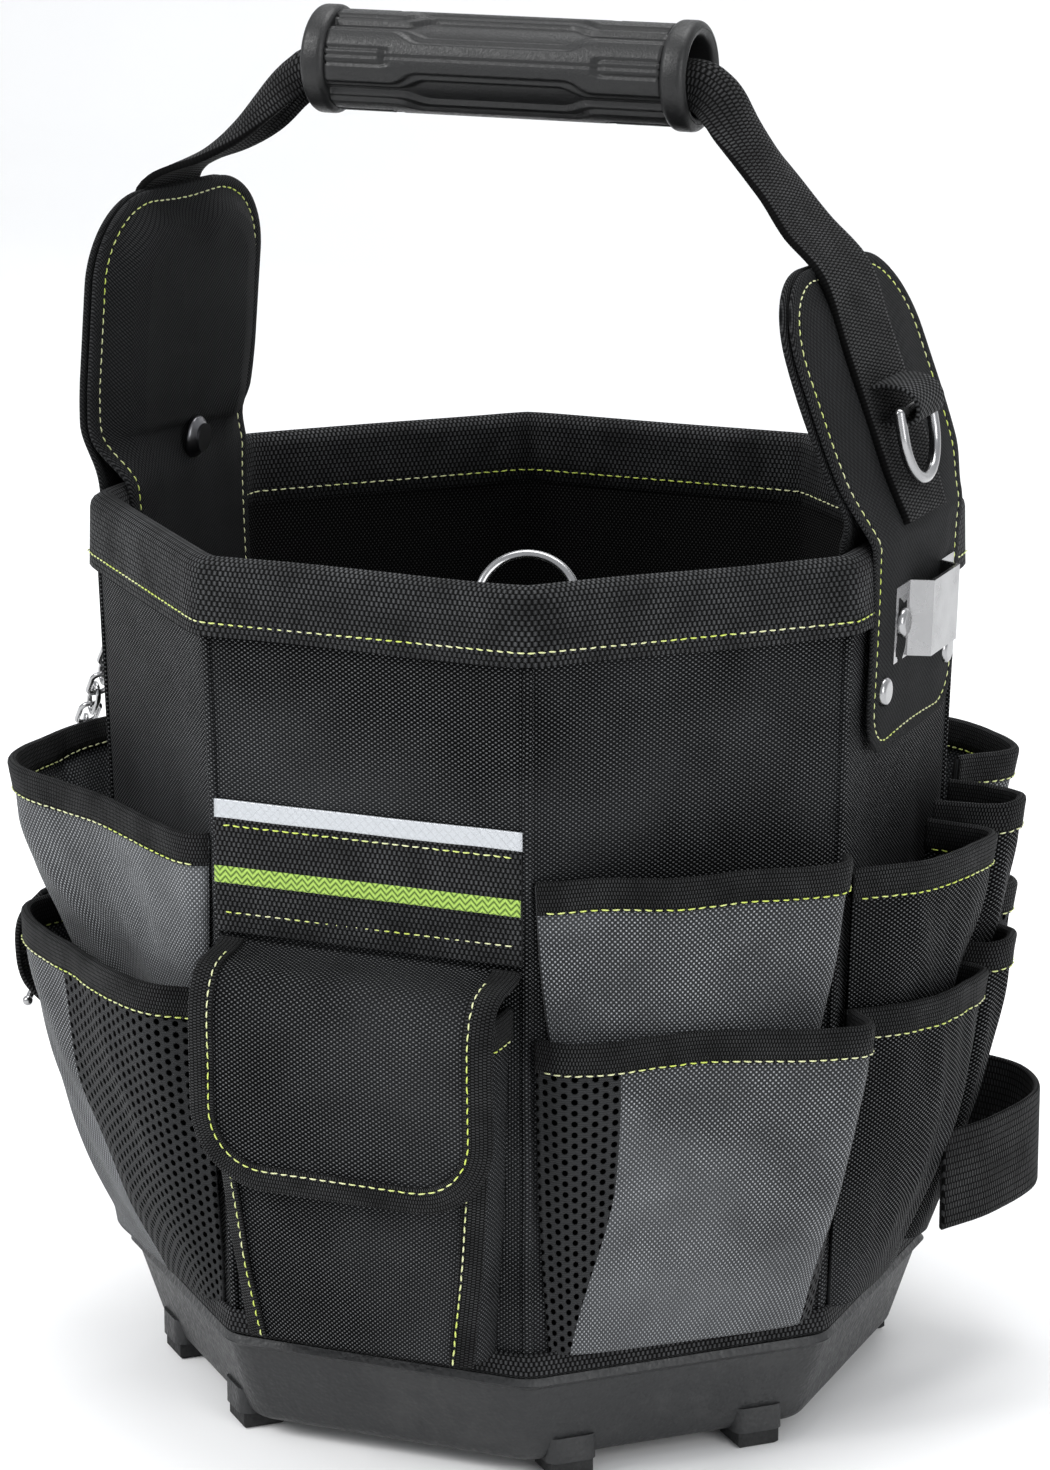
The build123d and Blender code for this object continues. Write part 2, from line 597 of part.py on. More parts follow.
YOKE_RIVETS = [Rivet(side * RIVET_Y, RIVET_Z, WALL_HEAD_OUT, WALL_TAIL_OUT) for side in (-1, 1)]
ANCHOR_RIVET = Rivet(RIVET_Y, RIVET_Z, WALL_HEAD_OUT + ANCHOR_T + GAP, WALL_TAIL_OUT)
CLIP_RIVETS = [
    Rivet(CLIP_Y + side * CLIP_RIVET_AT, CLIP_Z, WALL_HEAD_OUT + CLIP_T + GAP, WALL_TAIL_OUT)
    for side in (-1, 1)
]
STRAP_RIVET = Rivet(0, STRAP_RIVET_Z, YOKE_T + STRAP_T + GAP, STRAP_TAIL_OUT, LEFT_LEAN)


def tape_clip():
    """Hat-shaped sheet steel bridge that a tape measure's belt clip hooks over."""
    half = [(CLIP_BRIDGE_HALF - CLIP_RAMP, CLIP_RISE), (CLIP_BRIDGE_HALF, 0), (CLIP_HALF, 0)]
    under = mirrored(half) + half
    profile = make_face(Polyline(*under, *reversed(grown(under, CLIP_T)), close=True))
    solid = extrude(Plane.XZ * profile, CLIP_H / 2, both=True)
    for side in (-1, 1):
        recess = Box(RECESS_W, CLIP_H - 2 * RECESS_MARGIN, 2 * RECESS_DEPTH)
        solid -= Pos(side * CLIP_RIVET_AT, 0, CLIP_T) * recess
    return wall_plane(CLIP_Y, CLIP_Z, WALL_HEAD_OUT + GAP) * solid


RING_BAR_HALF = 16
RING_LEG = 8
RING_AT_Z = 352
RING_OUT = 8
RING_REST_TILT = 10
LOOP_HALF = 13.6
LOOP_EYE_R = 3.8


def strap_face_plane(z, out):
    """Local frame on the strap of the right yoke: x along +Y, y up the face, z outward."""
    tilt = atan(RIGHT_LEAN)
    origin = (strap_x(z, RIGHT_LEAN, STRAP_T + out), 0, z)
    return Plane(origin, x_dir=(0, 1, 0), z_dir=(cos(tilt), 0, sin(tilt)))


def d_ring():
    bar, leg = RING_BAR_HALF, RING_LEG
    wire = rod((-bar, 0, 0), (bar, 0, 0), WIRE_R)
    for side in (-bar, bar):
        wire += rod((side, 0, 0), (side, -leg, 0), WIRE_R) + Pos(side, 0, 0) * Sphere(WIRE_R)
    wire += Pos(0, -leg, 0) * half_ring(bar, WIRE_R)
    return strap_face_plane(RING_AT_Z, RING_OUT) * (Rot(RING_REST_TILT, 0, 0) * wire)


def d_ring_loop():
    """Webbing that leaves the strap, folds round the ring's bar and runs back under itself."""
    depth = RING_OUT - GAP
    slab = Pos(0, 0, -depth / 2) * Box(2 * LOOP_HALF, 2 * LOOP_EYE_R, depth)
    turn = Rot(0, 90, 0) * Cylinder(LOOP_EYE_R, 2 * LOOP_HALF)
    hole = Rot(0, 90, 0) * Cylinder(WIRE_R + RUNNING_GAP, 3 * LOOP_HALF)
    return strap_face_plane(RING_AT_Z, RING_OUT) * (slab + turn - hole)


INNER_RING_HEADING = -90 + VERTEX_ANGLE
INNER_RING_R = 16
INNER_RING_Z = 288
INNER_RING_TILT = 30
INNER_RING_AT = 134
INNER_EYE_R = 2.6
INNER_LOOP_HALF = 5
INNER_LOOP_DROP = 26


def inner_ring():
    """Key ring on the inside of the front right corner, standing up off its loop."""
    ring = Pos(0, INNER_RING_R, 0) * Torus(INNER_RING_R, RING_WIRE_R)
    stand = Plane((INNER_RING_AT, 0, INNER_RING_Z), x_dir=(0, 1, 0), z_dir=(1, 0, 0))
    return turned(stand * (Rot(-INNER_RING_TILT, 0, 0) * ring), INNER_RING_HEADING)


def inner_ring_loop():
    eye = INNER_EYE_R + BINDING_T
    stand = Plane((INNER_RING_AT, 0, INNER_RING_Z), x_dir=(0, 1, 0), z_dir=(1, 0, 0))
    turn = Rot(0, 90, 0) * Cylinder(eye, 2 * INNER_LOOP_HALF)
    tab = Box(2 * INNER_LOOP_HALF, INNER_LOOP_DROP, BINDING_T)
    tab = Pos(0, -INNER_LOOP_DROP / 2, eye - BINDING_T / 2) * tab
    hole = Rot(0, 90, 0) * Cylinder(INNER_EYE_R, 3 * INNER_LOOP_HALF)
    return turned(stand * (turn + tab - hole), INNER_RING_HEADING)


LINK_WIRE_R = 0.95
LINK_R = 3.5
LINK_SLACK = 0.65
ANCHOR_EYE_R = 3.0
ANCHOR_EYE_WIRE = 0.9
ANCHOR_EYE_DROP = 9.5
ANCHOR_EYE_OUT = 3.2
CHAIN_BEND = (-173, -2, 214)
T_BAR_CENTRE = (-183, -8, 134)
T_BAR_TIP = (-183, -33, 115)
T_BAR_R = 1.3
T_BAR_TIP_R = 1.9
T_BAR_EYE_R = 3.2
UPPER_LINKS = 5
LOWER_LINKS = 6


def chain_run(start, end, count, first):
    """Links from start to end, each turned a quarter from the one before."""
    a, b = Vector(*start), Vector(*end)
    along = (b - a).normalized()
    side = along.cross(Vector(0, 0, 1)).normalized()
    faces = [side, along.cross(side)]
    pitch = (b - a).length / count
    links = []
    for i in range(count):
        middle = a + along * pitch * (i + 0.5)
        links.append(chain_link(tuple(middle), tuple(along), tuple(faces[(i + first) % 2]), pitch))
    return links


def anchor_plane():
    return wall_plane(RIVET_Y, RIVET_Z, WALL_HEAD_OUT + GAP)


def chain_line():
    """Centre of the anchor's eye, the direction of the upper run, and the point it hangs from."""
    at = anchor_plane().from_local_coords(Vector(0, -ANCHOR_EYE_DROP, ANCHOR_EYE_OUT))
    centre = Vector(-at.X, -at.Y, at.Z)
    along = (Vector(*CHAIN_BEND) - centre).normalized()
    return centre, along, centre + along * (ANCHOR_EYE_R - ANCHOR_EYE_WIRE)


def chain_anchor():
    """Small plate under the front rivet of the left yoke, with an eye at its foot."""
    plate = Pos(0, 0, ANCHOR_T / 2) * Box(2 * RIVET_HEAD_R, 3 * RIVET_HEAD_R, ANCHOR_T)
    plate -= Cylinder(RIVET_SHANK_R + GAP / 2, 4 * ANCHOR_T)
    top = ANCHOR_EYE_R - ANCHOR_EYE_DROP
    plate += rod((0, top, ANCHOR_T / 2), (0, top, ANCHOR_EYE_OUT), ANCHOR_EYE_WIRE)
    centre, along, _ = chain_line()
    eye = Plane(centre, z_dir=along.cross(Vector(0, 0, 1))) * Torus(ANCHOR_EYE_R, ANCHOR_EYE_WIRE)
    return turned(anchor_plane() * plate, HALF_TURN) + eye


def t_bar():
    centre, tip = Vector(*T_BAR_CENTRE), Vector(*T_BAR_TIP)
    far = centre * 2 - tip
    bar = rod(tuple(tip), tuple(far), T_BAR_R)
    for end in (tip, far):
        bar += Pos(*end) * Sphere(T_BAR_TIP_R)
    eye = Pos(*(centre + Vector(0, 0, T_BAR_EYE_R))) * (Rot(0, 90, 0) * Torus(T_BAR_EYE_R, LINK_WIRE_R))
    return bar + eye


# ---------------------------------------------------------------- front panel
def flap_outline(inset=0):
    half, low, corner = FLAP_HALF - inset, FLAP_BOTTOM_Z + inset, FLAP_CORNER
    turn = corner * (1 - cos(radians(PANEL_STEP)))
    over = FLAP_TOP_Z + FLAP_EDGE
    sides = Polyline((-half, low + corner), (-half, over), (half, over), (half, low + corner))
    foot = Line((half - corner, low), (corner - half, low))
    right = ThreePointArc((half, low + corner), (half - turn, low + turn), (half - corner, low))
    left = ThreePointArc((corner - half, low), (turn - half, low + turn), (-half, low + corner))
    return extrude(Plane.YZ * make_face([sides, right, foot, left]), 2 * RIM_APOTHEM)


def flap_path(out=0):
    front = FLAP_OUT - FLAP_T + out
    face = wall_path((front, FLAP_BOTTOM_Z - 1), (front, FLAP_SHOULDER_Z - FLAP_SLOPE_OUT))
    roll = (front - FLAP_SLOPE_OUT + out / 2, FLAP_SHOULDER_Z + FLAP_ROLL_Z + out)
    return face + wall_path(roll, (FLAP_HINGE_OUT, FLAP_TOP_Z - 1 + out))


def front_flap():
    return turned(bent_sheet(flap_path(), FLAP_T) & flap_outline(), -90)


def front_flap_binding():
    sheet = bent_sheet(flap_path(FLAP_T + GAP), FLAP_BINDING_T)
    low = Box(4 * RIM_APOTHEM, 2 * RIM_APOTHEM, 2 * (FLAP_SHOULDER_Z - FLAP_SLOPE_OUT - 1))
    return turned((sheet & flap_outline() & low) - flap_outline(FLAP_EDGE), -90)


def tape(out_at):
    """A strip of hook-and-loop tape whose back lies out_at(z) from the front panel."""
    path = wall_path(*[(out_at(z), z) for z in (HOOK_Z - HOOK_H, HOOK_Z + HOOK_H)])
    strip = Pos(0, 0, HOOK_Z) * Box(4 * RIM_APOTHEM, HOOK_W, HOOK_H)
    return turned(bent_sheet(path, TAPE_T) & strip, -90)


def hook_tape():
    """On the back of the flap."""
    return tape(lambda z: FLAP_OUT - FLAP_T - TAPE_T - GAP)


def loop_tape():
    """On the face of the pocket, behind the hook tape."""
    return tape(lambda z: FLAP_POCKET.line_at(z)[FLAP_POCKET_FACE][1] + GAP)


# ---------------------------------------------------------------- tool loops
TOOL_LOOP_Z0, TOOL_LOOP_Z1 = 62, 98
TOOL_LOOP_LINE = [(4, 24), (26, 34), (60, 40), (84, 27), (94, 6)]
SIDE_LOOP_PATH = [(29, 120), (41, 130), (41, 151), (31, 161)]
SIDE_LOOP_Y0, SIDE_LOOP_Y1 = -50, -27


def tool_loop():
    """Webbing loop that stands off the right rear corner, low down."""
    line = TOOL_LOOP_LINE
    faces = []
    for z in (TOOL_LOOP_Z0, TOOL_LOOP_Z1):
        points = [*line, *reversed(grown(line, -STRAP_T))]
        flat = [(apothem(z, out), u) for u, out in points]
        faces.append(Plane.XY.offset(z) * make_face(Polyline(*flat, close=True)))
    return loft(faces, ruled=True)


def side_loop():
    """Short webbing loop on the left side, ahead of the chain."""
    y0, y1 = SIDE_LOOP_Y0, SIDE_LOOP_Y1
    sheet = bent_sheet(wall_path(*SIDE_LOOP_PATH), STRAP_T)
    strip = Pos(0, -(y0 + y1) / 2, 0) * Box(4 * RIM_APOTHEM, y1 - y0, 4 * RIM_Z)
    return turned(sheet & strip, HALF_TURN)


# ---------------------------------------------------------------- build
right_holes = [r.hole() for r in YOKE_RIVETS + CLIP_RIVETS]
left_holes = [turned(r.hole(), HALF_TURN) for r in YOKE_RIVETS + [STRAP_RIVET]]


def drilled(part):
    for hole in right_holes + left_holes:
        part -= hole
    return part


save("base_tray", base_tray())
save("rubber_feet", *foot_copies(foot()))
save("base_board", base_board())
save("lining", drilled(lining()))
save("wall_boards", *[drilled(board) for board in wall_boards()])
save("outer_shell", drilled(wall_ring(TRAY_LIP_Z + 2 * GAP, RIM_Z, -SHELL_T, 0)))
save("rim_binding", rim_binding())
save("base_binding", wall_ring(TRAY_LIP_Z + 2 * GAP, TRAY_LIP_Z + BASE_BAND_H, GAP, GAP + BINDING_T))

right_layers = yoke_layers(RIGHT_LEAN, RIGHT_TOP_Z)
left_layers = [turned(layer, HALF_TURN) for layer in yoke_layers(LEFT_LEAN, LEFT_TOP_Z)]
for layer_name, right, left in zip(("outer", "core", "inner"), right_layers, left_layers):
    save(f"right_yoke_{layer_name}", drilled(right))
    save(f"left_yoke_{layer_name}", drilled(left))
save("right_yoke_strap", yoke_strap(RIGHT_LEAN, RIGHT_TOP_Z, RIGHT_FOLD_X))
save("left_yoke_strap", drilled(turned(yoke_strap(LEFT_LEAN, LEFT_TOP_Z, LEFT_FOLD_X), HALF_TURN)))
save("handle_webbing", handle_webbing())
save("grip", grip())

save("right_yoke_rivets", *[r.solid() for r in YOKE_RIVETS])
save("left_yoke_rivets", *[turned(r.solid(), HALF_TURN) for r in (YOKE_RIVETS[0], ANCHOR_RIVET)])
save("strap_rivet", turned(STRAP_RIVET.solid(), HALF_TURN))
save("tape_clip", drilled(tape_clip()))
save("clip_rivets", *[r.solid() for r in CLIP_RIVETS])
save("d_ring", d_ring())
save("d_ring_loop", d_ring_loop())
save("inner_ring", inner_ring())
save("inner_ring_loop", inner_ring_loop())
save("chain_anchor", chain_anchor())
t_bar_hang = Vector(*T_BAR_CENTRE) + Vector(0, 0, 2 * T_BAR_EYE_R - LINK_WIRE_R - LINK_SLACK)
save("chain_upper", *chain_run(tuple(chain_line()[2]), CHAIN_BEND, UPPER_LINKS, 1))
save("chain_lower", *chain_run(CHAIN_BEND, tuple(t_bar_hang), LOWER_LINKS, 1))
save("t_bar", t_bar())

save("web_band", turned(patch(BAND_Z0, BAND_Z1, GAP, BAND_T, 1), -90))
save("lime_stripe", turned(patch(STRIPE_Z0, STRIPE_Z1, 2 * GAP + BAND_T, STRIPE_T, 1), -90))
save("reflective_strip", turned(patch(BAND_Z1 + GAP, REFLECTOR_Z1, GAP, REFLECTOR_T, 1), -90))
save("front_pocket", FLAP_POCKET.wall())
save("front_flap", front_flap())
save("front_flap_binding", front_flap_binding())
save("hook_tape", hook_tape())
save("loop_tape", loop_tape())
for name, pocket in {**UPPER_POCKETS, **LOWER_POCKETS}.items():
    save(name, pocket.wall())
save("upper_pocket_bindings", *[pocket.binding() for pocket in UPPER_POCKETS.values()])
save("lower_pocket_bindings", *[pocket.binding() for pocket in LOWER_POCKETS.values()])
save("tool_loop", tool_loop())
save("side_loop", side_loop())
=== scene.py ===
import json
import math
import random

import bmesh
import bpy
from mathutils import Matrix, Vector, noise


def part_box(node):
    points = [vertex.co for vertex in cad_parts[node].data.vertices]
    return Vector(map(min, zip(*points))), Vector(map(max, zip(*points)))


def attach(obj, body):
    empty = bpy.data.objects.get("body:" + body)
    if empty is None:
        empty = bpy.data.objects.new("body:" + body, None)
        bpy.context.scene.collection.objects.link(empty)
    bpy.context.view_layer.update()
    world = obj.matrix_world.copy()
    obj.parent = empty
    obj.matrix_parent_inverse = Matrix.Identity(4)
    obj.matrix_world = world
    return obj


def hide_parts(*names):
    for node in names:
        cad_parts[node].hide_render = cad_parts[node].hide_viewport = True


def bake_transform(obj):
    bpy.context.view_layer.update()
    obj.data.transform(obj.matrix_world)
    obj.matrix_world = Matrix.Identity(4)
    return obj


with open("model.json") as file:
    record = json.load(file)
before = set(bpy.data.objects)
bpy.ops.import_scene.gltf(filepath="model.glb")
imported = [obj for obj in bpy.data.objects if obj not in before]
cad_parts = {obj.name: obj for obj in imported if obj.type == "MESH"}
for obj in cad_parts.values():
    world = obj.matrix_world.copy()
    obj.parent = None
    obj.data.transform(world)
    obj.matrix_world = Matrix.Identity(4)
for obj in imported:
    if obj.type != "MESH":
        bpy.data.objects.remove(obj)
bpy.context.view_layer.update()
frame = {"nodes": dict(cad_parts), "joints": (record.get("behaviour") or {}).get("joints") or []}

# ------------------------------------------------------------ driving sizes, in mm
MM = 0.001
SIDES = 8
STEP = 360 / SIDES
HALF_SIDE = math.tan(math.radians(STEP / 2))
FRONT, RIGHT, LEFT, BACK = -90, 0, 180, 90
JOINTS = {joint["name"]: joint for joint in frame["joints"]}


def box_mm(node):
    low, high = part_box(node)
    return low / MM, high / MM


shell_high = box_mm("outer_shell")[1]
base_low, base_high = box_mm("base_binding")
RIM_Z, RIM_AP = shell_high.z, shell_high.x
BASE_Z, BASE_TOP_Z = base_low.z, base_high.z
BASE_OUT = 1.7
SLOPE = (RIM_AP - (base_high.x - BASE_OUT)) / (RIM_Z - BASE_TOP_Z)
LINING_OUT = -5.3
WEB = 1.6
STITCH_PITCH = 3.5
STITCH_LENGTH = 2.8
STITCH_R = 0.29
BEND_Z = 313
YOKE_OUT = 2.0
YOKE_Z0 = box_mm("right_yoke_outer")[0].z
LEANS = {RIGHT: 0.37, LEFT: 0.08}
TOPS = {RIGHT: box_mm("right_yoke_outer")[1].z, LEFT: box_mm("left_yoke_outer")[1].z}
YOKE_TOP_HALF, YOKE_TOP_R = 51, 30
YOKE_SHOULDER_Z = 350
YOKE_HALF = 45
YOKE_PUFF = 6.4
YOKE_WAIST_Z = 300
TWISTS = {RIGHT: math.tan(math.radians(4.4)), LEFT: math.tan(math.radians(8))}
STRAP_W, STRAP_T = 38, 2.4
STRAP_CURL = math.radians(235)
STRAP_Z0 = 316
HANDLE = [x / MM for x in JOINTS["handle_fold"]["pos_m"]]
GRIP_AT = [x / MM for x in JOINTS["grip_turn"]["pos_m"]]
grip_low, grip_high = box_mm("grip")
GRIP_HALF = (grip_high.x - grip_low.x) / 2


def apothem(z, out=0):
    """Distance from the axis to a wall panel at height z, plus out."""
    return RIM_AP + (z - RIM_Z) * SLOPE + out


def at(heading, u, out, z):
    """A point beside the panel that faces heading: u along it, out from it."""
    turn = math.radians(heading)
    reach = apothem(z, out)
    x = reach * math.cos(turn) - u * math.sin(turn)
    y = reach * math.sin(turn) + u * math.cos(turn)
    return Vector((x, y, z))


def outward(heading):
    turn = math.radians(heading)
    return Vector((math.cos(turn), math.sin(turn), 0))


def smooth(x, low=0.0, high=1.0):
    t = min(1.0, max(0.0, (x - low) / (high - low)))
    return t * t * (3 - 2 * t)


def mix(a, b, t):
    return a + (b - a) * t


def ring_point(s, out, z, round_mm=6.0):
    """A point round the eight-sided wall: whole s at panel middles, corners rounded."""
    side = math.floor(s + 0.5)
    half = apothem(z, out) * HALF_SIDE
    u = (s - side) * 2 * half
    point = at(side * STEP, u, out, z)
    left = half - abs(u)
    if left < round_mm:
        corner = outward((side + (0.5 if u > 0 else -0.5)) * STEP)
        pull = round_mm * (1 / math.cos(math.radians(STEP / 2)) - 1) * (1 - left / round_mm) ** 2
        point -= corner * pull
    return point


def ring_normal(s):
    side = math.floor(s + 0.5)
    t = (s - side) * 2
    bend = math.copysign(smooth(abs(t), 0.86, 1.0), t) * 0.5
    return outward((side + bend) * STEP)


# ------------------------------------------------------------ mesh helpers
def finish_object(name, mesh, material, body, nodes=(), flat=False):
    thing = bpy.data.objects.new(name, mesh)
    bpy.context.scene.collection.objects.link(thing)
    for item in material if isinstance(material, (list, tuple)) else [material]:
        mesh.materials.append(item)
    for face in mesh.polygons:
        face.use_smooth = not flat
    if body:
        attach(thing, body)
    if nodes:
        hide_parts(*nodes)
    return thing


def make_mesh(name, verts, faces, uvs):
    mesh = bpy.data.meshes.new(name)
    mesh.from_pydata([v * MM for v in verts], [], faces)
    layer = mesh.uv_layers.new(name="fabric")
    for loop, uv in zip(layer.data, uvs):
        loop.uv = uv
    mesh.update()
    return mesh


def grid_mesh(name, rows, cols, point, uv, closed=False, caps=False):
    """A quad grid from point(i, j); closed joins the last column to the first."""
    verts = [point(i, j) for i in range(rows) for j in range(cols)]
    faces, uvs = [], []
    for i in range(rows - 1):
        for j in range(cols if closed else cols - 1):
            corners = [(i, j), (i, j + 1), (i + 1, j + 1), (i + 1, j)]
            faces.append([a * cols + b % cols for a, b in corners])
            uvs += [uv(a, b) for a, b in corners]
    if caps:
        for i, order in ((0, range(cols - 1, -1, -1)), (rows - 1, range(cols))):
            faces.append([i * cols + j for j in order])
            uvs += [uv(i, j) for j in order]
    return make_mesh(name, verts, faces, uvs)


def join_meshes(name, meshes):
    """One mesh from several, with their UVs; the parts are removed."""
    verts, faces, uvs = [], [], []
    for mesh in meshes:
        start = len(verts)
        verts += [v.co / MM for v in mesh.vertices]
        faces += [[start + i for i in face.vertices] for face in mesh.polygons]
        uvs += [tuple(loop.uv) for loop in mesh.uv_layers["fabric"].data]
        bpy.data.meshes.remove(mesh)
    return make_mesh(name, verts, faces, uvs)


def curve(points, count):
    """count points, evenly spaced, on a smooth line through points."""
    dense = []
    points = [Vector(p) for p in points]
    ends = [2 * points[0] - points[1], *points, 2 * points[-1] - points[-2]]
    for a, b, c, d in zip(ends, ends[1:], ends[2:], ends[3:]):
        for k in range(16):
            t = k / 16
            dense.append(0.5 * (2 * b + (c - a) * t + (2 * a - 5 * b + 4 * c - d) * t * t
                                + (3 * b - a - 3 * c + d) * t ** 3))
    dense.append(points[-1])
    return spaced(dense, count)


def spaced(points, count):
    """count points evenly spaced along a polyline."""
    reach = [0.0]
    for a, b in zip(points, points[1:]):
        reach.append(reach[-1] + (b - a).length)
    made, k = [], 0
    for i in range(count):
        goal = reach[-1] * i / (count - 1)
        while k < len(points) - 2 and reach[k + 1] < goal:
            k += 1
        span = max(reach[k + 1] - reach[k], 1e-9)
        made.append(points[k].lerp(points[k + 1], (goal - reach[k]) / span))
    return made


def length_of(points):
    return sum((b - a).length for a, b in zip(points, points[1:]))


def slab(width, thick, across=6):
    """Section of a strap: a flat band with rounded edges, as (side, normal) points."""
    r = thick / 2
    inner = width / 2 - r
    top = [(mix(-inner, inner, k / across), r) for k in range(across + 1)]
    turns = [(inner + r * math.cos(a), r * math.sin(a)) for a in (0.9, 0, -0.9)]
    half = top + turns
    return half + [(-a, -b) for a, b in half]


def fold(height, gap, thick, turns=6):
    """Section of a binding folded over an edge, as (outward, up) points."""
    outer, inner = gap / 2 + thick, gap / 2
    arc = [math.pi * k / turns for k in range(turns + 1)]
    down = [-height + outer, -height / 2, 0]
    shell = [(outer, z) for z in down] + [(outer * math.cos(a), outer * math.sin(a)) for a in arc[1:-1]]
    shell += [(-outer, z) for z in reversed(down)]
    core = [(-inner, z) for z in down] + [(-inner * math.cos(a), inner * math.sin(a)) for a in arc[1:-1]]
    core += [(inner, z) for z in reversed(down)]
    return shell + core


def sweep(name, centres, sides, normals, section, closed=False):
    """A section carried along a path; UV is mm round the section and along the path."""
    rows = len(centres)
    cols = len(section)
    round_at = [0.0]
    for (a, b), (c, d) in zip(section, section[1:] + section[:1]):
        round_at.append(round_at[-1] + math.hypot(c - a, d - b))
    along = [0.0]
    for a, b in zip(centres, centres[1:]):
        along.append(along[-1] + (b - a).length)

    def point(i, j):
        a, b = section[j]
        return centres[i] + sides[i] * a + normals[i] * b

    return grid_mesh(name, rows, cols, point, lambda i, j: (round_at[j], along[i]), True, not closed)


# ------------------------------------------------------------ stitching
stitches = {}


def stitch_row(group, points, normals, pitch=STITCH_PITCH, skip=0.5):
    """Notes threads laid along a line of points, for make_stitches to build."""
    total = length_of(points)
    count = max(2, int(total / pitch))
    reach, k = 0.0, 0
    for n in range(count):
        goal = (n + skip) * total / count
        while k < len(points) - 2 and reach + (points[k + 1] - points[k]).length < goal:
            reach += (points[k + 1] - points[k]).length
            k += 1
        step = points[k + 1] - points[k]
        if step.length < 1e-6:
            continue
        t = (goal - reach) / step.length
        normal = normals[k].lerp(normals[k + 1], min(1, max(0, t))).normalized()
        stitches.setdefault(group, []).append((points[k].lerp(points[k + 1], t), step.normalized(), normal))


def make_stitches(name, group, body):
    """One mesh of short threads that rise out of the cloth and dip back in."""
    rng = random.Random(len(stitches[group]))
    verts, faces, uvs = [], [], []
    for place, along, normal in stitches[group]:
        side = normal.cross(along).normalized()
        length = STITCH_LENGTH * rng.uniform(0.92, 1.06)
        lean = side * rng.uniform(-0.16, 0.16)
        start = len(verts)
        verts.append(place - along * length / 2 - lean - normal * 0.15)
        for share, size, rise in ((-0.32, 0.85, 0.12), (0.0, 1.0, 0.25), (0.32, 0.85, 0.12)):
            middle = place + along * length * share + lean * 2 * share + normal * rise
            for k in range(6):
                a = 2 * math.pi * k / 6
                verts.append(middle + (side * math.cos(a) + normal * math.sin(a) * 0.8) * STITCH_R * size)
        verts.append(place + along * length / 2 + lean - normal * 0.15)
        for k in range(6):
            n = (k + 1) % 6
            faces.append([start, start + 1 + n, start + 1 + k])
            for ring in (0, 1):
                a, b = start + 1 + 6 * ring, start + 7 + 6 * ring
                faces.append([a + k, a + n, b + n, b + k])
            faces.append([start + 13 + k, start + 13 + n, start + 19])
        uvs += [(place.x + place.y, place.z)] * 84
    mesh = make_mesh(name, verts, faces, uvs)
    return finish_object(name, mesh, MAT["thread"], body)


# ------------------------------------------------------------ materials
class Look:
    """A node material, with short ways to add nodes to it."""

    def __init__(self, name, roughness=0.8, metallic=0.0, specular=0.3, sheen=0.0):
        self.material = bpy.data.materials.new(name)
        self.material.use_nodes = True
        self.tree = self.material.node_tree
        self.bsdf = self.tree.nodes["Principled BSDF"]
        self.set("Roughness", roughness)
        self.set("Metallic", metallic)
        self.set("Specular IOR Level", specular)
        self.set("Sheen Weight", sheen)
        self.set("Sheen Roughness", 0.4)

    def set(self, socket, value):
        self.put(self.bsdf.inputs[socket], value)

    def put(self, socket, value):
        if isinstance(value, bpy.types.NodeSocket):
            self.tree.links.new(value, socket)
        else:
            socket.default_value = value

    def node(self, kind, inputs=(), out=0, **settings):
        made = self.tree.nodes.new(kind)
        for key, value in settings.items():
            setattr(made, key, value)
        for key, value in dict(inputs).items():
            self.put(made.inputs[key], value)
        return made.outputs[out]

    def calc(self, operation, a, b=0.0, c=0.0):
        return self.node("ShaderNodeMath", {0: a, 1: b, 2: c}, operation=operation)

    def cloth_uv(self, turn=0.0):
        """The fabric's own two directions, in mm."""
        uv = self.node("ShaderNodeUVMap", uv_map="fabric")
        turned = self.node("ShaderNodeVectorRotate", {"Vector": uv, "Angle": turn}, rotation_type="Z_AXIS")
        split = self.tree.nodes.new("ShaderNodeSeparateXYZ")
        self.put(split.inputs[0], turned)
        return split.outputs[0], split.outputs[1]

    def place(self):
        return self.node("ShaderNodeTexCoord", out=3)

    def noise(self, scale, detail=3.0, roughness=0.55):
        inputs = {"Vector": self.place(), "Scale": scale, "Detail": detail, "Roughness": roughness}
        return self.node("ShaderNodeTexNoise", inputs)

    def wave(self, value, pitch):
        """Rounded ridges, 0 to 1, one every pitch."""
        return self.calc("ABSOLUTE", self.calc("SINE", self.calc("MULTIPLY", value, math.pi / pitch)))

    def cell(self, u, v, pitch_u, pitch_v):
        """1 on every other square of a board, 0 between."""
        a = self.calc("FLOOR", self.calc("DIVIDE", u, pitch_u))
        b = self.calc("FLOOR", self.calc("DIVIDE", v, pitch_v))
        return self.calc("FLOORED_MODULO", self.calc("ADD", a, b), 2.0)

    def blend(self, share, a, b):
        made = self.tree.nodes.new("ShaderNodeMix")
        made.data_type = "RGBA"
        self.put(made.inputs[0], share)
        self.put(made.inputs[6], a)
        self.put(made.inputs[7], b)
        return made.outputs[2]

    def ramp(self, value, low, high, out_low=0.0, out_high=1.0):
        inputs = {0: value, 1: low, 2: high, 3: out_low, 4: out_high}
        return self.node("ShaderNodeMapRange", inputs)

    def bump(self, height, depth_mm, strength=1.0, below=None):
        inputs = {"Height": height, "Distance": depth_mm * MM, "Strength": strength}
        if below is not None:
            inputs["Normal"] = below
        return self.node("ShaderNodeBump", inputs)


def grey(level, tint=(1.0, 1.0, 1.0)):
    return (level * tint[0], level * tint[1], level * tint[2], 1.0)


COOL = (0.96, 1.0, 1.05)


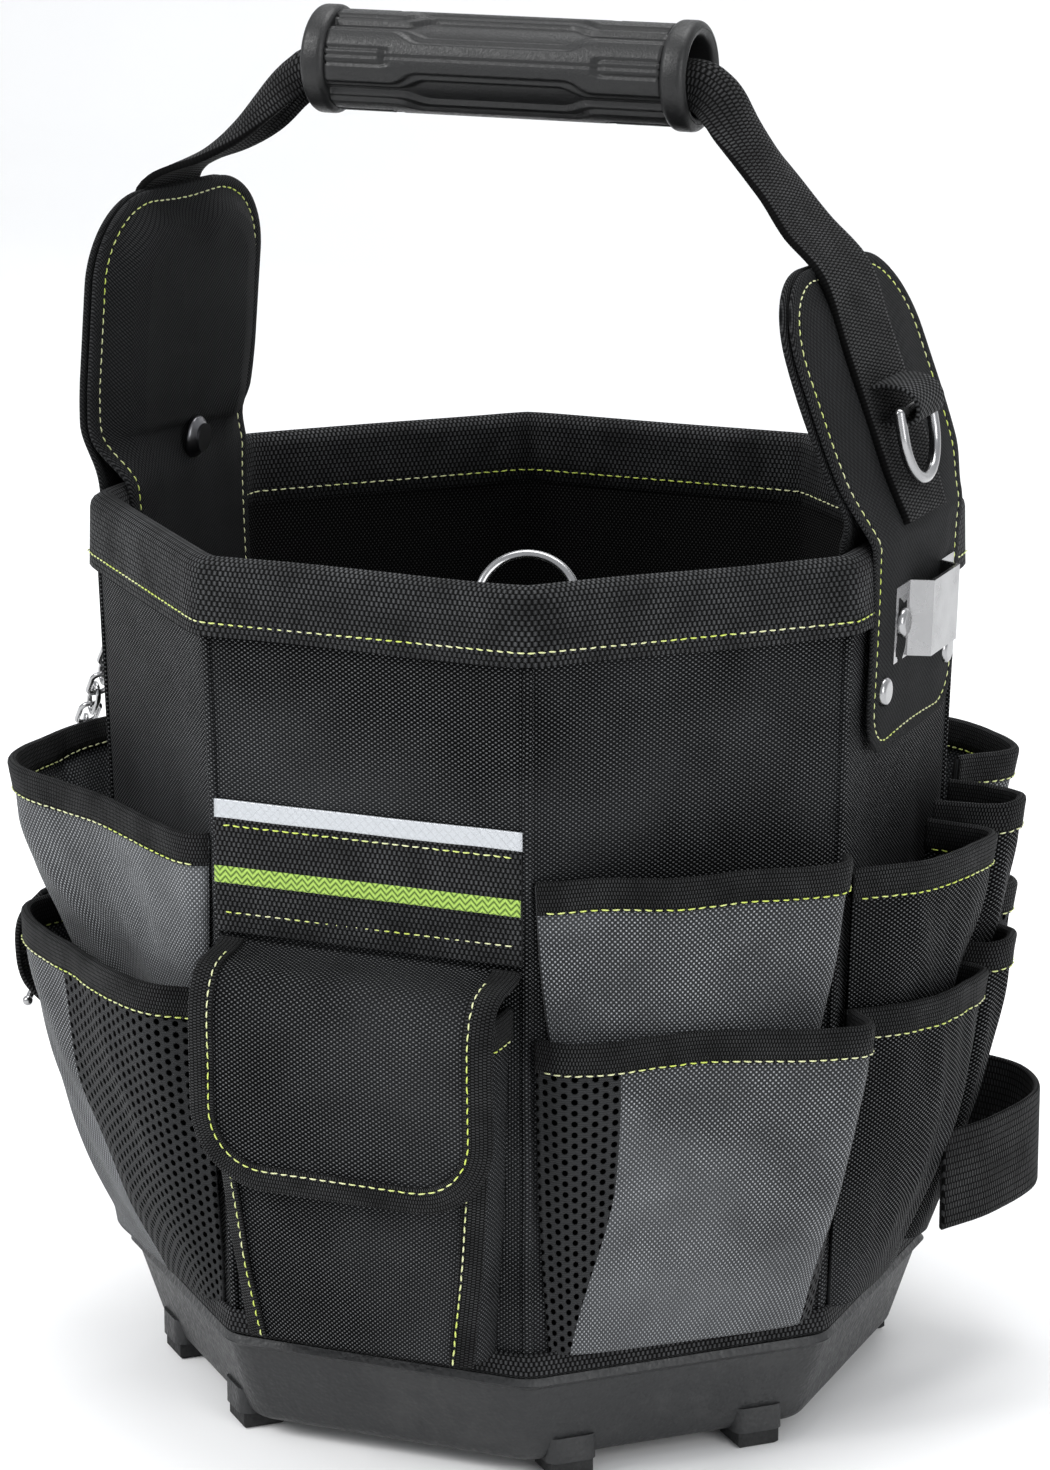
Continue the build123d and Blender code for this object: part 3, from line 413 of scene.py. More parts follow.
def woven(name, pitch, dark, light, depth, turn=0.0, twill=False, sheen=0.15, roughness=0.85, ratio=1.0,
          gloss=0.5):
    """Cloth of crossing threads that pass over and under each other, dull between its threads; the thread tops are
    painted lighter in its colour as a painted highlight.
    """
    look = Look(name, roughness, sheen=sheen)
    u, v = look.cloth_uv(turn)
    over = look.cell(u, v, pitch, pitch * ratio)
    warp, weft = look.wave(u, pitch), look.wave(v, pitch * ratio)
    if twill:
        height = look.calc("MULTIPLY", look.wave(u, pitch), look.ramp(look.wave(v, pitch * 1.7), 0, 0.6, 0.45, 1))
        glint = look.calc("POWER", height, 2.0)
    else:
        crossed = look.calc("MULTIPLY", warp, weft)
        height = look.calc("MULTIPLY", crossed, look.ramp(over, 0, 1, 0.55, 1.0))
        glint = look.calc("MULTIPLY", over, look.calc("POWER", crossed, 1.5))
    patch = look.noise(55, 4)
    wear = look.noise(9, 3)
    # painted highlight: the colour runs from dark to light on the thread tops that glint marks, stronger in patches
    share = look.calc("MULTIPLY", glint, look.ramp(patch, 0.3, 0.7, 0.55, 1.15))
    cloth = look.blend(share, dark, light)
    look.set("Specular IOR Level", look.ramp(glint, 0, 1, 0.02, gloss))
    faded = look.blend(look.ramp(wear, 0.45, 0.8, 0.0, 0.22), cloth, light)
    look.set("Base Color", faded)
    look.set("Roughness", look.ramp(height, 0, 1, min(1.0, roughness + 0.08), roughness - 0.1))
    broad = look.bump(look.noise(140, 3), 0.25, 0.5)
    look.set("Normal", look.bump(height, depth, 0.9, broad))
    return look.material


def ribbed(name, rib, dark, light, depth, column=1.9, sheen=0.1):
    """Webbing: close ribs across the strap, broken by the columns of the weave, with painted highlights on the rib
    crests.
    """
    look = Look(name, 0.82, sheen=sheen)
    u, v = look.cloth_uv()
    step = look.calc("FLOORED_MODULO", look.calc("FLOOR", look.calc("DIVIDE", u, column)), 2.0)
    shifted = look.calc("ADD", v, look.calc("MULTIPLY", step, rib / 2))
    ribs = look.wave(shifted, rib)
    columns = look.ramp(look.wave(u, column), 0.0, 0.5, 0.35, 1.0)
    height = look.calc("MULTIPLY", ribs, columns)
    # painted highlight: the colour is lighter on the rib crests, in patches
    share = look.calc("MULTIPLY", look.calc("POWER", height, 2.5), look.ramp(look.noise(70, 3), 0.3, 0.7, 0.4, 1.0))
    look.set("Base Color", look.blend(share, dark, light))
    look.set("Specular IOR Level", look.ramp(share, 0, 1, 0.03, 0.4))
    look.set("Roughness", look.ramp(height, 0, 1, 0.95, 0.65))
    look.set("Normal", look.bump(height, depth, 1.0))
    return look.material


def air_mesh():
    """Spacer mesh: a honeycomb of holes painted black as painted shade, between soft knitted bars."""
    look = Look("air_mesh", 0.85, specular=0.15, sheen=0.03)
    u, v = look.cloth_uv()
    pitch = 3.4
    slant = look.calc("MULTIPLY", v, math.sqrt(3) / 2)
    half = look.calc("MULTIPLY", u, 0.5)
    waves = [u, look.calc("ADD", half, slant), look.calc("SUBTRACT", slant, half)]
    total = 0.0
    for value in waves:
        total = look.calc("ADD", look.calc("COSINE", look.calc("MULTIPLY", value, 2 * math.pi / pitch)), total)
    bars = look.ramp(total, 0.1, 1.2, 1.0, 0.0)
    knit = look.calc("MULTIPLY", bars, look.ramp(look.wave(v, 0.8), 0, 1, 0.75, 1))
    # painted shade: the holes are painted pure black for the shade inside them; the bars get the cloth's grey
    look.set("Base Color", look.blend(knit, grey(0.0), grey(0.022, COOL)))
    look.set("Specular IOR Level", look.ramp(knit, 0, 1, 0.0, 0.25))
    look.set("Normal", look.bump(knit, 0.7, 1.0))
    return look.material


def moulded(name, level, roughness, grain, depth, worn=0.03):
    """Plastic or rubber with a leather-like grain and lighter scuffs."""
    look = Look(name, roughness, specular=0.4)
    cells = look.node("ShaderNodeTexVoronoi", {"Vector": look.place(), "Scale": grain}, feature="F1")
    soft = look.noise(grain * 0.7, 5)
    pebbles = look.calc("ADD", look.ramp(cells, 0.0, 0.7, 1.0, 0.0), soft)
    scuff = look.ramp(look.noise(24, 6, 0.7), 0.52, 0.72, 0.0, 1.0)
    look.set("Base Color", look.blend(look.calc("MULTIPLY", scuff, 0.5), grey(level, COOL), grey(level + worn)))
    look.set("Roughness", look.ramp(soft, 0.3, 0.7, roughness - 0.1, roughness + 0.12))
    look.set("Normal", look.bump(pebbles, depth, 0.8))
    return look.material


def metal(name, colour, roughness):
    """Plated steel with a faint fine-noise bump and smudges."""
    look = Look(name, roughness, metallic=1.0, specular=0.5)
    smudge = look.noise(60, 4)
    tint = look.blend(look.ramp(smudge, 0.35, 0.7, 0, 0.35), colour, grey(colour[0] * 0.7))
    look.set("Base Color", tint)
    look.set("Roughness", look.ramp(smudge, 0.3, 0.75, roughness, roughness + 0.16))
    look.set("Normal", look.bump(look.noise(420, 2), 0.03, 0.35))
    return look.material


def reflective():
    """Bead-coated tape: pale grey with a fine sparkle and a cross-hatched backing."""
    look = Look("reflective_tape", 0.38, metallic=0.35, specular=0.6)
    u, v = look.cloth_uv(math.pi / 4)
    hatch = look.calc("MINIMUM", look.ramp(look.wave(u, 2.2), 0, 0.25, 0, 1), look.ramp(look.wave(v, 2.2), 0, 0.25, 0, 1))
    beads = look.noise(1800, 2)
    tone = look.calc("MULTIPLY", look.ramp(beads, 0.3, 0.7, 0.75, 1.0), look.ramp(hatch, 0, 1, 0.85, 1.0))
    look.set("Base Color", look.blend(tone, grey(0.2), grey(0.5, COOL)))
    look.set("Normal", look.bump(look.calc("ADD", hatch, look.calc("MULTIPLY", beads, 0.4)), 0.12, 0.6))
    return look.material


def lime():
    """Bright woven tape with small chevrons."""
    look = Look("lime_tape", 0.7, specular=0.3, sheen=0.2)
    u, v = look.cloth_uv()
    zig = look.calc("ADD", u, look.calc("MULTIPLY", look.calc("PINGPONG", v, 2.0), 1.1))
    ribs = look.wave(zig, 2.1)
    look.set("Base Color", look.blend(look.calc("POWER", ribs, 1.2), (0.03, 0.07, 0.004, 1), (0.33, 0.5, 0.09, 1)))
    look.set("Normal", look.bump(ribs, 0.25, 0.9))
    return look.material


def thread():
    """Sewing thread, pale yellow-green with whiter lengths."""
    look = Look("stitch_thread", 0.6, specular=0.3, sheen=0.2)
    tone = look.ramp(look.noise(28, 2), 0.42, 0.6)
    look.set("Base Color", look.blend(tone, (0.60, 0.62, 0.36, 1), (0.50, 0.60, 0.10, 1)))
    look.set("Normal", look.bump(look.noise(2600, 2), 0.1, 0.7))
    return look.material


def hook_and_loop():
    look = Look("hook_and_loop", 0.95, specular=0.1, sheen=0.5)
    fuzz = look.noise(1500, 4, 0.8)
    look.set("Base Color", look.blend(look.ramp(fuzz, 0.35, 0.7), grey(0.004), grey(0.035)))
    look.set("Normal", look.bump(fuzz, 0.7, 1.0))
    return look.material


MAT = {
    "ballistic": woven("black_ballistic", 1.1, grey(0.002, COOL), grey(0.10, COOL), 0.5, sheen=0.0, roughness=0.6,
                       ratio=0.7, gloss=0.9),
    "twill": woven("black_twill", 0.8, grey(0.003, COOL), grey(0.02, COOL), 0.30, math.radians(38), True, 0.0,
                   gloss=0.3),
    "grey": woven("grey_weave", 0.95, grey(0.025, COOL), grey(0.40, COOL), 0.4, sheen=0.1, roughness=0.6, gloss=0.7),
    "lining": woven("lining_cloth", 0.8, grey(0.002), grey(0.01), 0.15, sheen=0.02),
    "rim": ribbed("rim_webbing", 1.7, grey(0.003), grey(0.05, COOL), 0.55, 1.7, 0.02),
    "binding": ribbed("pocket_webbing", 1.0, grey(0.002), grey(0.025, COOL), 0.35, 1.4, 0.02),
    "strap": ribbed("strap_webbing", 1.3, grey(0.003), grey(0.02, COOL), 0.35, 2.4, 0.02),
    "mesh": air_mesh(),
    "lime": lime(),
    "reflective": reflective(),
    "tape": hook_and_loop(),
    "thread": thread(),
    "tray": moulded("tray_plastic", 0.018, 0.5, 620, 0.22),
    "feet": moulded("foot_rubber", 0.009, 0.75, 900, 0.15),
    "rubber": moulded("grip_rubber", 0.005, 0.45, 1400, 0.05, 0.01),
    "board": moulded("stiff_board", 0.02, 0.7, 300, 0.1),
    "steel": metal("polished_steel", (0.36, 0.36, 0.365, 1), 0.16),
    "nickel": metal("dark_nickel", (0.16, 0.16, 0.17, 1), 0.24),
}
CARRIED = {
    "tray": ["base_tray"],
    "feet": ["rubber_feet"],
    "board": ["base_board", "wall_boards"],
    "steel": ["tape_clip", "clip_rivets", "right_yoke_rivets", "d_ring", "inner_ring", "chain_anchor",
              "chain_upper", "chain_lower", "t_bar"],
    "nickel": ["left_yoke_rivets", "strap_rivet"],
}
for key, names in CARRIED.items():
    for node_name in names:
        slots = frame["nodes"][node_name].data.materials
        for index in range(max(1, len(slots))):
            if index < len(slots):
                slots[index] = MAT[key]
            else:
                slots.append(MAT[key])


# ------------------------------------------------------------ bucket
def perimeter(s, z):
    return s * 2 * apothem(z) * HALF_SIDE


def wall_skin(name, z0, z1, out, wrinkle, rows, cols):
    """One layer of the wall as a grid, drawn up with faint puckers between its seams."""
    def point(i, j):
        z = mix(z0, z1, i / (rows - 1))
        s = SIDES * j / cols - 0.5
        bump_at = ring_point(s, 0, z) * 0.018
        rise = noise.noise(bump_at) * wrinkle + noise.noise(bump_at * 3.1) * wrinkle * 0.35
        away = ring_normal(s)
        return ring_point(s, out, z, 9) + away * (rise - wrinkle)

    def uv(i, j):
        return perimeter(SIDES * j / cols, RIM_Z), mix(z0, z1, i / (rows - 1))

    return grid_mesh(name, rows, cols, point, uv, True)


def ring_band(name, z0, z1, inner, thick, cols=SIDES * 26, wobble=0.0):
    """A strap laid round the whole bucket against the wall."""
    middle_z, height = (z0 + z1) / 2, z1 - z0
    centres, sides, normals = [], [], []
    for j in range(cols):
        s = SIDES * j / cols
        shift = noise.noise(Vector((s * 1.3, 3.1, z0))) * wobble
        centres.append(ring_point(s, inner + thick / 2, middle_z + shift, 8))
        sides.append(Vector((0, 0, 1)))
        normals.append(ring_normal(s))
    centres.append(centres[0]), sides.append(sides[0]), normals.append(normals[0])
    return sweep(name, centres, sides, normals, slab(height, thick))


def shell():
    mesh = wall_skin("shell_cloth", BASE_Z + 0.5, RIM_Z - 1, 0, 0.35, 60, SIDES * 26)
    thing = finish_object("shell_cloth", mesh, MAT["ballistic"], "bucket", ["outer_shell"])
    thicken(thing, 0.9, 1)
    return thing


def thicken(thing, thick, offset=0.0):
    """Gives a sheet its thickness; offset 1 grows it behind its face, 0 both ways."""
    solid = thing.modifiers.new("thickness", "SOLIDIFY")
    solid.thickness = thick * MM
    solid.offset = -offset


def lining():
    """Inner cloth: walls down to the floor board, and a floor that dips a little in the middle."""
    floor_z = box_mm("lining")[0].z + 1
    rows, cols = 64, SIDES * 20
    wall_rows = 48
    foot_ap = -box_mm("lining")[0].x

    def point(i, j):
        s = SIDES * j / cols - 0.5
        if i < wall_rows:
            z = mix(RIM_Z - 3, floor_z, (i / (wall_rows - 1)) ** 0.9)
            out = LINING_OUT if z > 40 else LINING_OUT - (40 - z) * 0.5
            rise = noise.noise(ring_point(s, 0, z) * 0.021 + Vector((9, 2, 5)))
            return ring_point(s, out, z, 14) - ring_normal(s) * (rise + 1) * 0.5
        share = 1 - (i - wall_rows + 1) / (rows - wall_rows)
        edge = ring_point(s, LINING_OUT - 9, floor_z, 14)
        wave = noise.noise(Vector((edge.x * share, edge.y * share, 4)) * 0.03)
        return Vector((edge.x * share, edge.y * share, floor_z + (1 - share) * 0.6 + wave * 0.5))

    def uv(i, j):
        return perimeter(SIDES * j / cols, RIM_Z), i * 5.5

    mesh = grid_mesh("lining_cloth", rows, cols, point, uv, True)
    weld(mesh)
    return finish_object("lining_cloth", mesh, MAT["lining"], "bucket", ["lining"])


def weld(mesh, reach=1e-6):
    """Merges points that fell on the same place, such as the middle of a round grid."""
    work = bmesh.new()
    work.from_mesh(mesh)
    bmesh.ops.remove_doubles(work, verts=work.verts, dist=reach)
    bmesh.ops.dissolve_degenerate(work, edges=work.edges, dist=reach)
    work.to_mesh(mesh)
    work.free()


def rim():
    """Wide ribbed binding folded over the rim and sewn through, with a line of stitches each side."""
    low, high = box_mm("rim_binding")
    height = high.z - low.z
    gap = 7.0
    cols = SIDES * 26
    section = fold(height, gap, WEB, 8)
    centres, sides, normals = [], [], []
    for j in range(cols + 1):
        s = SIDES * (j % cols) / cols
        away = ring_normal(s)
        soft = noise.noise(Vector((math.cos(s * math.pi / 4), math.sin(s * math.pi / 4), 0)) * 2.3)
        top = high.z - gap / 2 - WEB + 0.5 + soft * 0.7
        centres.append(ring_point(s, -2.7, top, 9) + away * soft * 0.3)
        sides.append(away)
        normals.append(Vector((-away.x * 0.03, -away.y * 0.03, 1)))
    mesh = sweep("rim_tape", centres, sides, normals, section, True)
    for side, lift in ((1, 0.85), (-1, -0.6)):
        out = -2.7 + side * (gap / 2 + WEB + lift)
        line = [ring_point(SIDES * j / cols, out, low.z + 5.2, 9) for j in range(cols + 1)]
        away = [ring_normal(SIDES * j / cols) * side for j in range(cols + 1)]
        stitch_row("rim", line, away)
    return finish_object("rim_tape", mesh, MAT["rim"], "bucket", ["rim_binding"])


def base_band():
    mesh = ring_band("base_tape", BASE_Z + 0.3, BASE_TOP_Z + 1.5, 0.1, 1.7, wobble=0.5)
    return finish_object("base_tape", mesh, MAT["rim"], "bucket", ["base_binding"])


def corner_welts():
    """Sewn ridge down each corner, where neighbouring panels are joined."""
    parts = []
    for k in range(SIDES):
        heading = (k + 0.5) * STEP
        away = outward(heading)
        along = Vector((-away.y, away.x, 0))
        centres = []
        for i in range(40):
            z = mix(BASE_TOP_Z, RIM_Z - 22, i / 39)
            sway = noise.noise(Vector((k * 3.7, z * 0.02, 1))) * 0.5
            centres.append(ring_point(k + 0.499, 0, z, 9) + along * sway - away * 0.3)
        parts.append(sweep("welt", centres, [along] * 40, [away] * 40, slab(3.4, 2.0)))
    mesh = join_meshes("corner_welts", parts)
    return finish_object("corner_welts", mesh, MAT["ballistic"], "bucket")


# ------------------------------------------------------------ pockets
class Pocket:
    """A cloth wall between a foot line and a mouth line, each (u, out) points on one panel.

    panel gives a grey centre panel's edges as shares of the pocket: low edges, then high edges.
    """

    rows, cols = 46, 72

    def __init__(self, heading, z0, z1, foot, mouth, cloth, panel=None, folds=1.0, seed=0, bow=0.18):
        self.heading, self.z0, self.z1 = heading, z0, z1
        self.foot = curve([(u, out, 0) for u, out in foot], self.cols)
        self.mouth = curve([(u, out, 0) for u, out in mouth], self.cols)
        self.cloth, self.panel, self.folds, self.seed = cloth, panel, folds, seed
        self.bow = bow

    def share(self, j, t):
        """Where column j lies along the pocket, so that columns follow the centre panel's seams."""
        s = j / (self.cols - 1)
        if not self.panel:
            return s
        low_a, low_b, high_a, high_b = self.panel
        bend = smooth(t, -0.15, 0.6)
        a, b = mix(low_a, high_a, bend), mix(low_b, high_b, bend)
        ja, jb = self.seam_columns()
        knots = [(0, 0.0), (ja, a), (jb, b), (self.cols - 1, 1.0)]
        for (j0, s0), (j1, s1) in zip(knots, knots[1:]):
            if j <= j1 and j1 > j0:
                return mix(s0, s1, (j - j0) / (j1 - j0))
        return 1.0

    def seam_columns(self):
        _, _, a, b = self.panel
        last = self.cols - 1
        return round(a * last), round(b * last)

    def on(self, line, s):
        reach = min(max(s, 0.0), 1.0) * (self.cols - 1)
        k = min(int(reach), self.cols - 2)
        return line[k].lerp(line[k + 1], reach - k)

    def spot(self, s, t, out=0.0):
        """A point of the cloth: s along the pocket, t from foot to mouth."""
        bow = t + self.bow * math.sin(math.pi * t)
        low, high = self.on(self.foot, s), self.on(self.mouth, s)
        flat = low.lerp(high, bow if high.y > low.y else t)
        ahead, behind = self.on(self.mouth, s + 0.02), self.on(self.mouth, s - 0.02)
        along = (ahead - behind).normalized() if (ahead - behind).length > 1e-6 else Vector((1, 0, 0))
        normal = Vector((-along.y, along.x, 0))
        edge = math.sin(math.pi * min(1, max(0, s)))
        rest = smooth(t, 0, 0.25) * (0.35 + 0.65 * (1 - smooth(t, 0.8, 1.0)))
        wave = noise.noise(Vector((s * 4.0, t * 2.2, self.seed * 7.3)))
        crease = noise.noise(Vector((s * 11.0 + t * 3.0, t * 3.0, self.seed * 3.1 + 40)))
        push = (wave * 3.2 + crease * 1.5) * self.folds * edge ** 0.5 * rest
        flat = flat + normal * (push + out - 0.7)
        sag = noise.noise(Vector((s * 3.0, self.seed * 5.1, 0))) * 2.6 * self.folds * t * edge ** 0.5
        z = mix(self.z0, self.z1, t) + sag
        least = 0.6 if abs(flat.x) < EDGE else -99
        return at(self.heading, flat.x, max(flat.y, least), z)

    def normal(self, s, t):
        a = self.spot(s + 0.01, t) - self.spot(s - 0.01, t)
        b = self.spot(s, min(1, t + 0.02)) - self.spot(s, max(0, t - 0.02))
        made = a.cross(b)
        return made.normalized() if made.length > 1e-9 else outward(self.heading)

    def width(self):
        return length_of(self.mouth)

    def build(self, name):
        rows, cols, wide = self.rows, self.cols, self.width()

        def point(i, j):
            t = i / (rows - 1)
            return self.spot(self.share(j, t), t)

        def uv(i, j):
            t = i / (rows - 1)
            return self.share(j, t) * wide, mix(self.z0, self.z1, t)

        mesh = grid_mesh(name + "_cloth", rows, cols, point, uv)
        thing = finish_object(mesh.name, mesh, [MAT[self.cloth], MAT["mesh"]], "bucket",
                              [name])
        if self.panel:
            ja, jb = self.seam_columns()
            for k, face in enumerate(mesh.polygons):
                column = k % (cols - 1)
                if column < ja or column >= jb:
                    face.material_index = 1
        thicken(thing, 1.3)
        return thing

    def rim_tape(self):
        """Binding folded over the mouth, with its stitches outside and in."""
        count = 84
        spots, sides, ups = [], [], []
        for i in range(count):
            s = i / (count - 1)
            n = self.normal(s, 0.985)
            up = (self.spot(s, 1.0) - self.spot(s, 0.93)).normalized()
            spots.append(self.spot(s, 1.0) - up * 0.6)
            sides.append(n)
            ups.append(up)
        for face in (1, -1):
            line = [p - up * 8.6 + n * 1.8 * face for p, n, up in zip(spots, sides, ups)]
            stitch_row("pockets", line[2:-2], [n * face for n in sides][2:-2])
        return sweep("tape", spots, sides, ups, fold(11, 1.3, 1.1))


EDGE = 54
CORNER_UPPER = ([(-38, 0), (-32, 4), (0, 6), (32, 6), (38, 0)], [(-54, 1), (-38, 7), (4, 14), (46, 18), (55, 8)])
CORNER_LOWER = ([(-47, 0), (-34, 5), (0, 7), (36, 8), (49, 2)], [(-54, 3), (-42, 12), (0, 18), (50, 31), (57, 12)])
WRAP_UPPER = (
    [(-44, -6), (-43, -1), (-40, 3), (-34, 6), (-14, 7), (0, 6), (32, 4), (38, 0)],
    [(-102, -46), (-110, -18), (-90, 13), (-64, 33), (-30, 27), (0, 19), (46, 9), (55, 1)],
)
WRAP_LOWER = (
    [(-60, -8), (-58, -2), (-52, 5), (-42, 9), (0, 8), (34, 5), (47, 0)],
    [(-84, -26), (-86, -8), (-76, 14), (-60, 32), (0, 30), (38, 22), (54, 4)],
)
SIDE_MOUTH = [(-52, 3), (-36, 20), (-10, 30), (14, 31), (20, 6)]
SIDE_REAR_MOUTH = [(24, 6), (27, 29), (39, 33), (50, 24), (54, 3)]
SIDE_UPPER = ([(-42, 0), (-34, 6), (-12, 9), (6, 7), (12, 0)], SIDE_MOUTH)
SIDE_LOWER = ([(-50, 0), (-42, 6), (-14, 8), (8, 6), (16, 0)], SIDE_MOUTH)
SIDE_REAR_UPPER = ([(30, 0), (31, 6), (37, 8), (43, 5), (47, 0)], SIDE_REAR_MOUTH)
SIDE_REAR_LOWER = ([(20, 0), (26, 6), (36, 8), (46, 5), (52, 0)], SIDE_REAR_MOUTH)
LEFT_LOWER = ([(-48, 0), (-40, 8), (-20, 9), (0, 8), (8, 0)], [(-54, 3), (-44, 24), (-20, 30), (4, 24), (12, 3)])
REAR_UPPER = ([(-38, 0), (-32, 6), (0, 7), (30, 5), (38, 0)], [(-54, 6), (-45, 34), (0, 30), (42, 14), (54, 1)])
REAR_LOWER = ([(-48, 2), (-38, 8), (0, 8), (36, 6), (47, 0)], [(-54, 10), (-46, 36), (0, 30), (42, 16), (54, 3)])
BACK_UPPER = ([(-38, 0), (-34, 5), (0, 6), (34, 5), (38, 0)], [(-54, 1), (-42, 16), (0, 22), (42, 16), (54, 1)])
BACK_LOWER = ([(-48, 0), (-40, 8), (0, 9), (40, 8), (48, 0)], [(-54, 3), (-44, 24), (0, 30), (44, 24), (54, 3)])


def mirrored(lines):
    return [[(-u, out) for u, out in reversed(line)] for line in lines]


def pocket_set():
    upper, lower = 112, 49
    made = {
        "upper_pocket_front_right": Pocket(-45, upper, 213, *CORNER_UPPER, "grey", seed=1),
        "upper_pocket_front_left": Pocket(-135, upper, 217, *WRAP_UPPER, "grey", seed=2, folds=1.4, bow=0.1),
        "upper_pocket_right_front": Pocket(RIGHT, upper, 204, *SIDE_UPPER, "ballistic", seed=3),
        "upper_pocket_right_rear": Pocket(RIGHT, upper, 209, *SIDE_REAR_UPPER, "ballistic", seed=4),
        "upper_pocket_left_rear": Pocket(LEFT, upper, 207, *mirrored(SIDE_REAR_UPPER), "ballistic", seed=5),
        "upper_pocket_rear_right": Pocket(45, upper, 215, *REAR_UPPER, "grey", seed=6),
        "upper_pocket_rear_left": Pocket(135, upper, 215, *mirrored(REAR_UPPER), "grey", seed=7),
        "upper_pocket_back": Pocket(BACK, upper, 213, *BACK_UPPER, "grey", seed=8),
        "lower_pocket_front_right": Pocket(-45, lower, 160, *CORNER_LOWER, "grey", (0.06, 0.93, 0.22, 0.88), seed=9),
        "lower_pocket_front_left": Pocket(-135, lower, 163, *WRAP_LOWER, "grey", (0.0, 0.66, 0.0, 0.56), seed=10, bow=0.27),
        "lower_pocket_right_front": Pocket(RIGHT, lower, 155, *SIDE_LOWER, "ballistic", seed=11),
        "lower_pocket_right_rear": Pocket(RIGHT, lower, 160, *SIDE_REAR_LOWER, "ballistic", seed=12),
        "lower_pocket_left": Pocket(LEFT, lower, 160, *LEFT_LOWER, "ballistic", seed=13),
        "lower_pocket_rear_right": Pocket(45, lower, 164, *REAR_LOWER, "grey", (0.26, 0.84, 0.24, 0.86), seed=14),
        "lower_pocket_rear_left": Pocket(135, lower, 164, *mirrored(REAR_LOWER), "grey", (0.16, 0.74, 0.14, 0.76), seed=15),
        "lower_pocket_back": Pocket(BACK, lower, 160, *BACK_LOWER, "grey", (0.22, 0.78, 0.22, 0.78), seed=16),
    }
    tapes = {"upper": [], "lower": []}
    for name, item in made.items():
        item.build(name)
        tapes[name.split("_")[0]].append(item.rim_tape())
    for tier, parts in tapes.items():
        mesh = join_meshes(f"{tier}_pocket_tapes", parts)
        finish_object(mesh.name, mesh, MAT["binding"], "bucket", [f"{tier}_pocket_bindings"])


# ------------------------------------------------------------ yokes
def yoke_x(z, heading, back=0.0):
    """Distance from the axis to the back of a yoke's outer layer, less back."""
    lean = LEANS[heading]
    low = apothem(z, YOKE_OUT)
    high = apothem(BEND_Z, YOKE_OUT) - lean * (z - BEND_Z)
    return mix(low, high, smooth(z, BEND_Z - 6, BEND_Z + 6)) - back


def yoke_inner_x(z, heading):
    """Distance from the axis to the middle of a yoke's inner layer."""
    wall = apothem(z, -8.3)
    leaf = yoke_x(z, heading, 2.2)
    return mix(wall, leaf, smooth(z, RIM_Z + 1, RIM_Z + 18))


def twist(y, z, heading):
    """How far a yoke is turned out of its flat plane above the rim, at y from its middle."""
    return TWISTS[heading] * y * smooth(z, RIM_Z + 1, RIM_Z + 24)


def yoke_edge(top_z, count):
    """Outline of a yoke as (y, z) points, anticlockwise from its foot."""
    round_r, shoulder_z = 16, top_z - YOKE_TOP_R
    line = []
    for k in range(9):
        a = math.radians(-90 + 90 * k / 8)
        line.append(Vector((YOKE_HALF - round_r + round_r * math.cos(a), YOKE_Z0 + round_r * (1 + math.sin(a)))))
    for k in range(1, 30):
        z = mix(YOKE_Z0 + round_r, shoulder_z, k / 30)
        line.append(Vector((mix(YOKE_HALF, YOKE_TOP_HALF, smooth(z, YOKE_WAIST_Z - 5, YOKE_SHOULDER_Z)), z)))
    for k in range(17):
        a = math.radians(90 * k / 16)
        line.append(Vector((YOKE_TOP_HALF - YOKE_TOP_R * (1 - math.cos(a)), shoulder_z + YOKE_TOP_R * math.sin(a))))
    side = [Vector((-p.x, p.y)) for p in reversed(line)]
    loop = line + side + [line[0]]
    return spaced(loop, count + 1)[:-1]


def yoke_pad(name, heading, middle_x, thick, facing, nodes, puff=0.0):
    """One padded layer of a yoke: a closed cushion-edged sheet with a sewn groove."""
    count = 190
    edge = yoke_edge(TOPS[heading], count)
    depths = [0.0, 0.25, 0.8, 1.8, 3.2, 4.3, 4.9, 5.5, 6.6, 9, 14, 21, 28, None]
    spine = (YOKE_Z0 + YOKE_HALF - 4, TOPS[heading] - YOKE_TOP_R)

    def flat(k, depth):
        b = edge[k % count]
        c = Vector((0, min(max(b.y, spine[0]), spine[1])))
        return c if depth is None else b + (c - b).normalized() * depth

    def lift(depth):
        if depth is None:
            return thick / 2 + 0.9
        round_edge = math.sqrt(max(0.0, 1 - (1 - min(depth, thick) / thick) ** 2)) * thick / 2
        groove = 0.55 * math.exp(-((depth - 4.9) / 0.7) ** 2)
        return round_edge - groove + 0.9 * smooth(depth, 5, 20)

    def place(k, depth, side):
        p = flat(k, depth)
        ripple = noise.noise(Vector((p.x * 0.05, p.y * 0.035, heading + facing))) * 0.8
        x = middle_x(p.y, heading) + twist(p.x, p.y, heading)
        ahead = middle_x(p.y + 1, heading) + twist(p.x, p.y + 1, heading)
        normal = Vector((1, 0, x - ahead)).normalized()
        near = 0 if depth is None else 1 - smooth(depth, 4, 18)
        rise = side * lift(depth) + ripple * (1 - near)
        if side == facing:
            rise += side * puff * (1 - near) * smooth(p.y, RIM_Z + 2, RIM_Z + 20)
        return Vector((x, p.x, p.y)) + normal * rise, normal

    rings = [(depth, facing) for depth in reversed(depths)] + [(depth, -facing) for depth in depths[1:]]
    turn = math.radians(heading)

    def spin(p):
        return Vector((p.x * math.cos(turn) - p.y * math.sin(turn), p.x * math.sin(turn) + p.y * math.cos(turn), p.z))

    def point(i, j):
        return spin(place(j, *rings[i])[0])

    def uv(i, j):
        p = flat(j, rings[i][0])
        return p.x, p.y

    mesh = grid_mesh(name, len(rings), count, point, uv, True)
    weld(mesh)
    orient(mesh)
    line, away = [], []
    for k in range(count + 1):
        p, n = place(k, 4.9, facing)
        line.append(spin(p))
        away.append(spin(n) * facing)
    stitch_row("yokes", line, away)
    return finish_object(name, mesh, MAT["twill"], "bucket", nodes)


